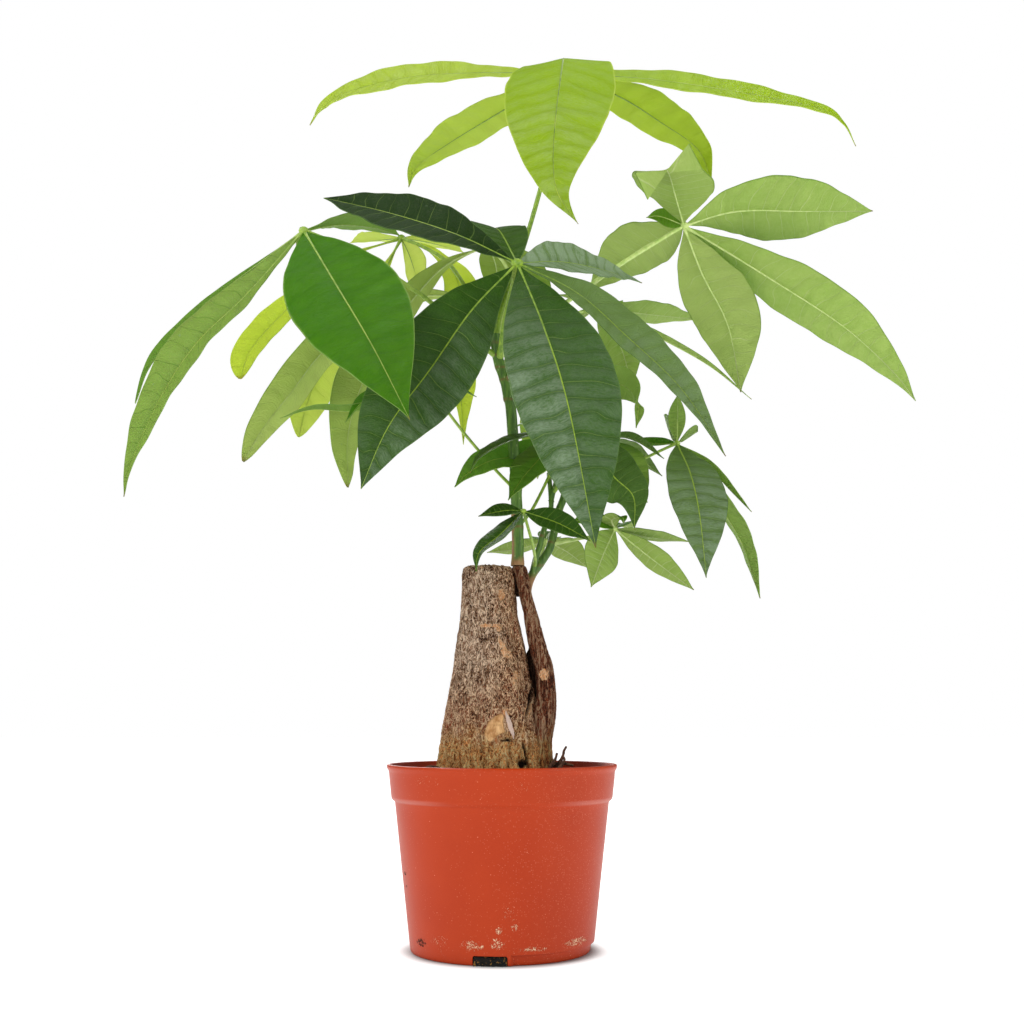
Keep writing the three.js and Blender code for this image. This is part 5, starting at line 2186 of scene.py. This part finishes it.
    def petiole(self, leaf: Leaf) -> Object:
        """Builds the petiole from the hub to the stem, swollen at its foot.

        Args:
            leaf: The leaf.

        Returns:
            The petiole, with the hub at the origin.
        """
        hub = Vector(leaf.hub)
        line = Line([(0, 0, 0), *(Vector(p) - hub for p in leaf.petiole)])
        long = line.length
        slim = lerp(0.6, 0.96, ease(2.0, 3.4, leaf.size))

        def radius(share: float) -> float:
            """Gives the radius at a share of the length."""
            flare = 0.5 * ease(9, 2, (1 - share) * long) + 0.3 * ease(5, 0, share * long)
            return (lerp(self.petiole_radius, self.petiole_foot, share) + flare) * slim

        return Bench.tube("petiole", line, radius, self.petiole_sides, max(12, round(long / self.petiole_row)))

    def leaf(
        self, node: str, leaf: Leaf, draw: random.Random, skins: dict[Tone, tuple[Material, ...]]
    ) -> Object:
        """Builds one whole leaf.

        Args:
            node: The CAD node that it stands for.
            leaf: The leaf.
            draw: Draws each leaflet's own number.
            skins: The materials of the upper side, the underside and the stalks, by tone.

        Returns:
            The leaf, with its faces in the slots of those materials.
        """
        name = node.removeprefix("leaf_") + "_leaf"
        swell = FINISHES[leaf.tone].swell
        chances = [draw.random() for _ in leaf.leaflets]
        tints_and_light = TINTS_AND_PAINTED_LIGHT.get(node, (0.0,) * len(leaf.leaflets))
        blades = []
        for i, leaflet in enumerate(leaf.leaflets):
            # Each leaflet's tint, partly painted light and shade, and its painted sheen on each half
            tint_and_light = (tints_and_light[i], *PAINTED_SHEENS.get((node, i), (0.0, 0.0)))
            slim = SLIM.get((node, i), (1.0, leaflet.peak))
            piece = self.blade(leaflet, swell, chances[i], tint_and_light, slim)
            wear(piece, *skins[AGES.get((node, i), leaf.tone)])
            blades.append(piece)
        whole = Bench.join(name, blades)
        Bench.finish(whole, "SOLIDIFY", thickness=self.thick * MM, offset=0, material_offset=1)
        stalks = [*(self.rib(leaflet) for leaflet in leaf.leaflets), self.knob(leaf), self.petiole(leaf)]
        for piece in stalks:
            wear(piece, *skins[leaf.tone])
            piece.data.polygons.foreach_set("material_index", [2] * len(piece.data.polygons))
        whole = Bench.join(name, [whole, *stalks])
        hub = Vector(leaf.hub) * MM
        for vertex in whole.data.vertices:
            vertex.co += hub
        Bench.smooth(whole, self.crease)
        return whole

    def build(self) -> None:
        """Builds and dresses every leaf."""
        draw = random.Random(self.seed)
        skins = {tone: finish.dress() for tone, finish in FINISHES.items()}
        for node, leaf in LEAVES.items():
            piece = self.leaf(node, leaf, draw, skins)
            settle(piece, f"leaf_{leaf.tone.value}", node)
        for blank in self.blanks.values():
            Bench.drop(blank)


# ---------- studio ----------


@dataclass(frozen=True)
class Lamp:
    """A soft box: where it stands, what it points at, its size in metres and its power in watts."""

    name: str
    place: Point
    aim: Point
    size: float
    power: float


@dataclass
class Studio:
    """The plain white studio: floor, light and camera."""

    ambient: float = 0.25
    lamps: tuple[Lamp, ...] = (
        Lamp("key_light", (-1.45, -1.2, 1.3), (0, 0, 0.24), 0.9, 25),
        Lamp("fill_light", (1.5, -0.8, 0.55), (0, 0, 0.2), 0.8, 9),
        Lamp("top_light", (0.2, 0.25, 1.9), (0, 0, 0.2), 1.2, 13),
        Lamp("back_light", (-0.5, 1.5, 0.9), (0, 0, 0.25), 1.0, 13),
    )
    floor_grey: Colour = (0.5, 0.5, 0.5, 1)
    # Painted shade on the floor: a near-black painted contact shadow in a ring at the pot's foot, and a dimmer glow
    # near the pot than far out
    painted_shadow_grey: Colour = (0.02, 0.02, 0.02, 1)
    painted_shade_white: Colour = (0.8, 0.8, 0.8, 1)
    far_white: Colour = (1, 1, 1, 1)
    painted_shadow_ring: tuple[float, float] = (0.045, 0.0555)
    painted_shade_spread: tuple[float, float] = (0.06, 0.5)
    camera_place: Point = (0.0052, -0.7, 0.1194)
    camera_tilt: float = 8.75
    lens: float = 46.18
    sensor: float = 36
    nearest: float = 0.02

    def floor(self) -> None:
        """Lays the white floor. It glows white far out, dimmer near the pot as painted shade, with a painted contact
        shadow ring at the pot's foot.
        """
        Bench.clear()
        bpy.ops.mesh.primitive_plane_add(size=12)
        floor = Bench.made("studio_floor")
        tree = Tree("studio_white")
        x, y, _ = tree.split(tree.place())
        away = tree.math("SQRT", x * x + y * y)
        # Painted shadow and shade: the glow is near black at the pot's foot, dimmer near the pot, and white far out
        near = tree.mix(away.step(*self.painted_shadow_ring), self.painted_shadow_grey, self.painted_shade_white)
        glow = tree.mix(away.step(*self.painted_shade_spread), near, self.far_white)
        sockets = {"Base Color": self.floor_grey, "Roughness": 0.9}
        sockets |= {"Emission Color": glow, "Emission Strength": 1.0}
        wear(floor, tree.finish(tree.value("ShaderNodeBsdfPrincipled", None, sockets)))

    def light(self) -> None:
        """Sets the lamps."""
        for lamp in self.lamps:
            data = bpy.data.lights.new(lamp.name, "AREA")
            data.shape = "DISK"
            data.size = lamp.size
            data.energy = lamp.power
            piece = Bench.link(lamp.name, data)
            piece.location = lamp.place
            aim = Vector(lamp.aim) - Vector(lamp.place)
            piece.rotation_euler = aim.to_track_quat("-Z", "Y").to_euler()

    def surround(self) -> None:
        """Sets the surround, which the camera sees white and which lights the object softly."""
        tree = Tree("studio_surround", surround=True)
        seen, cast = (
            tree.value("ShaderNodeBackground", None, {"Color": self.far_white, "Strength": strength})
            for strength in (1.0, self.ambient)
        )
        direct = tree.value("ShaderNodeLightPath", out="Is Camera Ray")
        mixed = tree.value("ShaderNodeMixShader", None, {0: direct, 1: cast, 2: seen})
        bpy.context.scene.world = tree.finish(mixed, "ShaderNodeOutputWorld")

    def camera(self) -> None:
        """Sets the camera where the photograph was taken."""
        data = bpy.data.cameras.new("photo_view")
        data.lens = self.lens
        data.sensor_width = self.sensor
        data.clip_start = self.nearest
        camera = Bench.link("photo_view", data)
        camera.location = self.camera_place
        camera.rotation_euler = (math.radians(90 + self.camera_tilt), 0, 0)
        bpy.context.scene.camera = camera

    def build(self) -> None:
        """Sets up the studio."""
        self.camera()
        self.light()
        self.surround()
        self.floor()
        bpy.context.scene.view_settings.view_transform = "Standard"


def main() -> None:
    """Builds every piece around the frame."""
    logging.basicConfig(level=logging.INFO, format="%(name)s: %(message)s")
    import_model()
    Studio().build()
    pot = Pot()
    pot.build()
    Soil(pot).build()
    Trunk().build()
    Stems().build()
    Foliage().build()
    Bench.clear()
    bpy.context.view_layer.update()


if __name__ == "__main__":
    main()
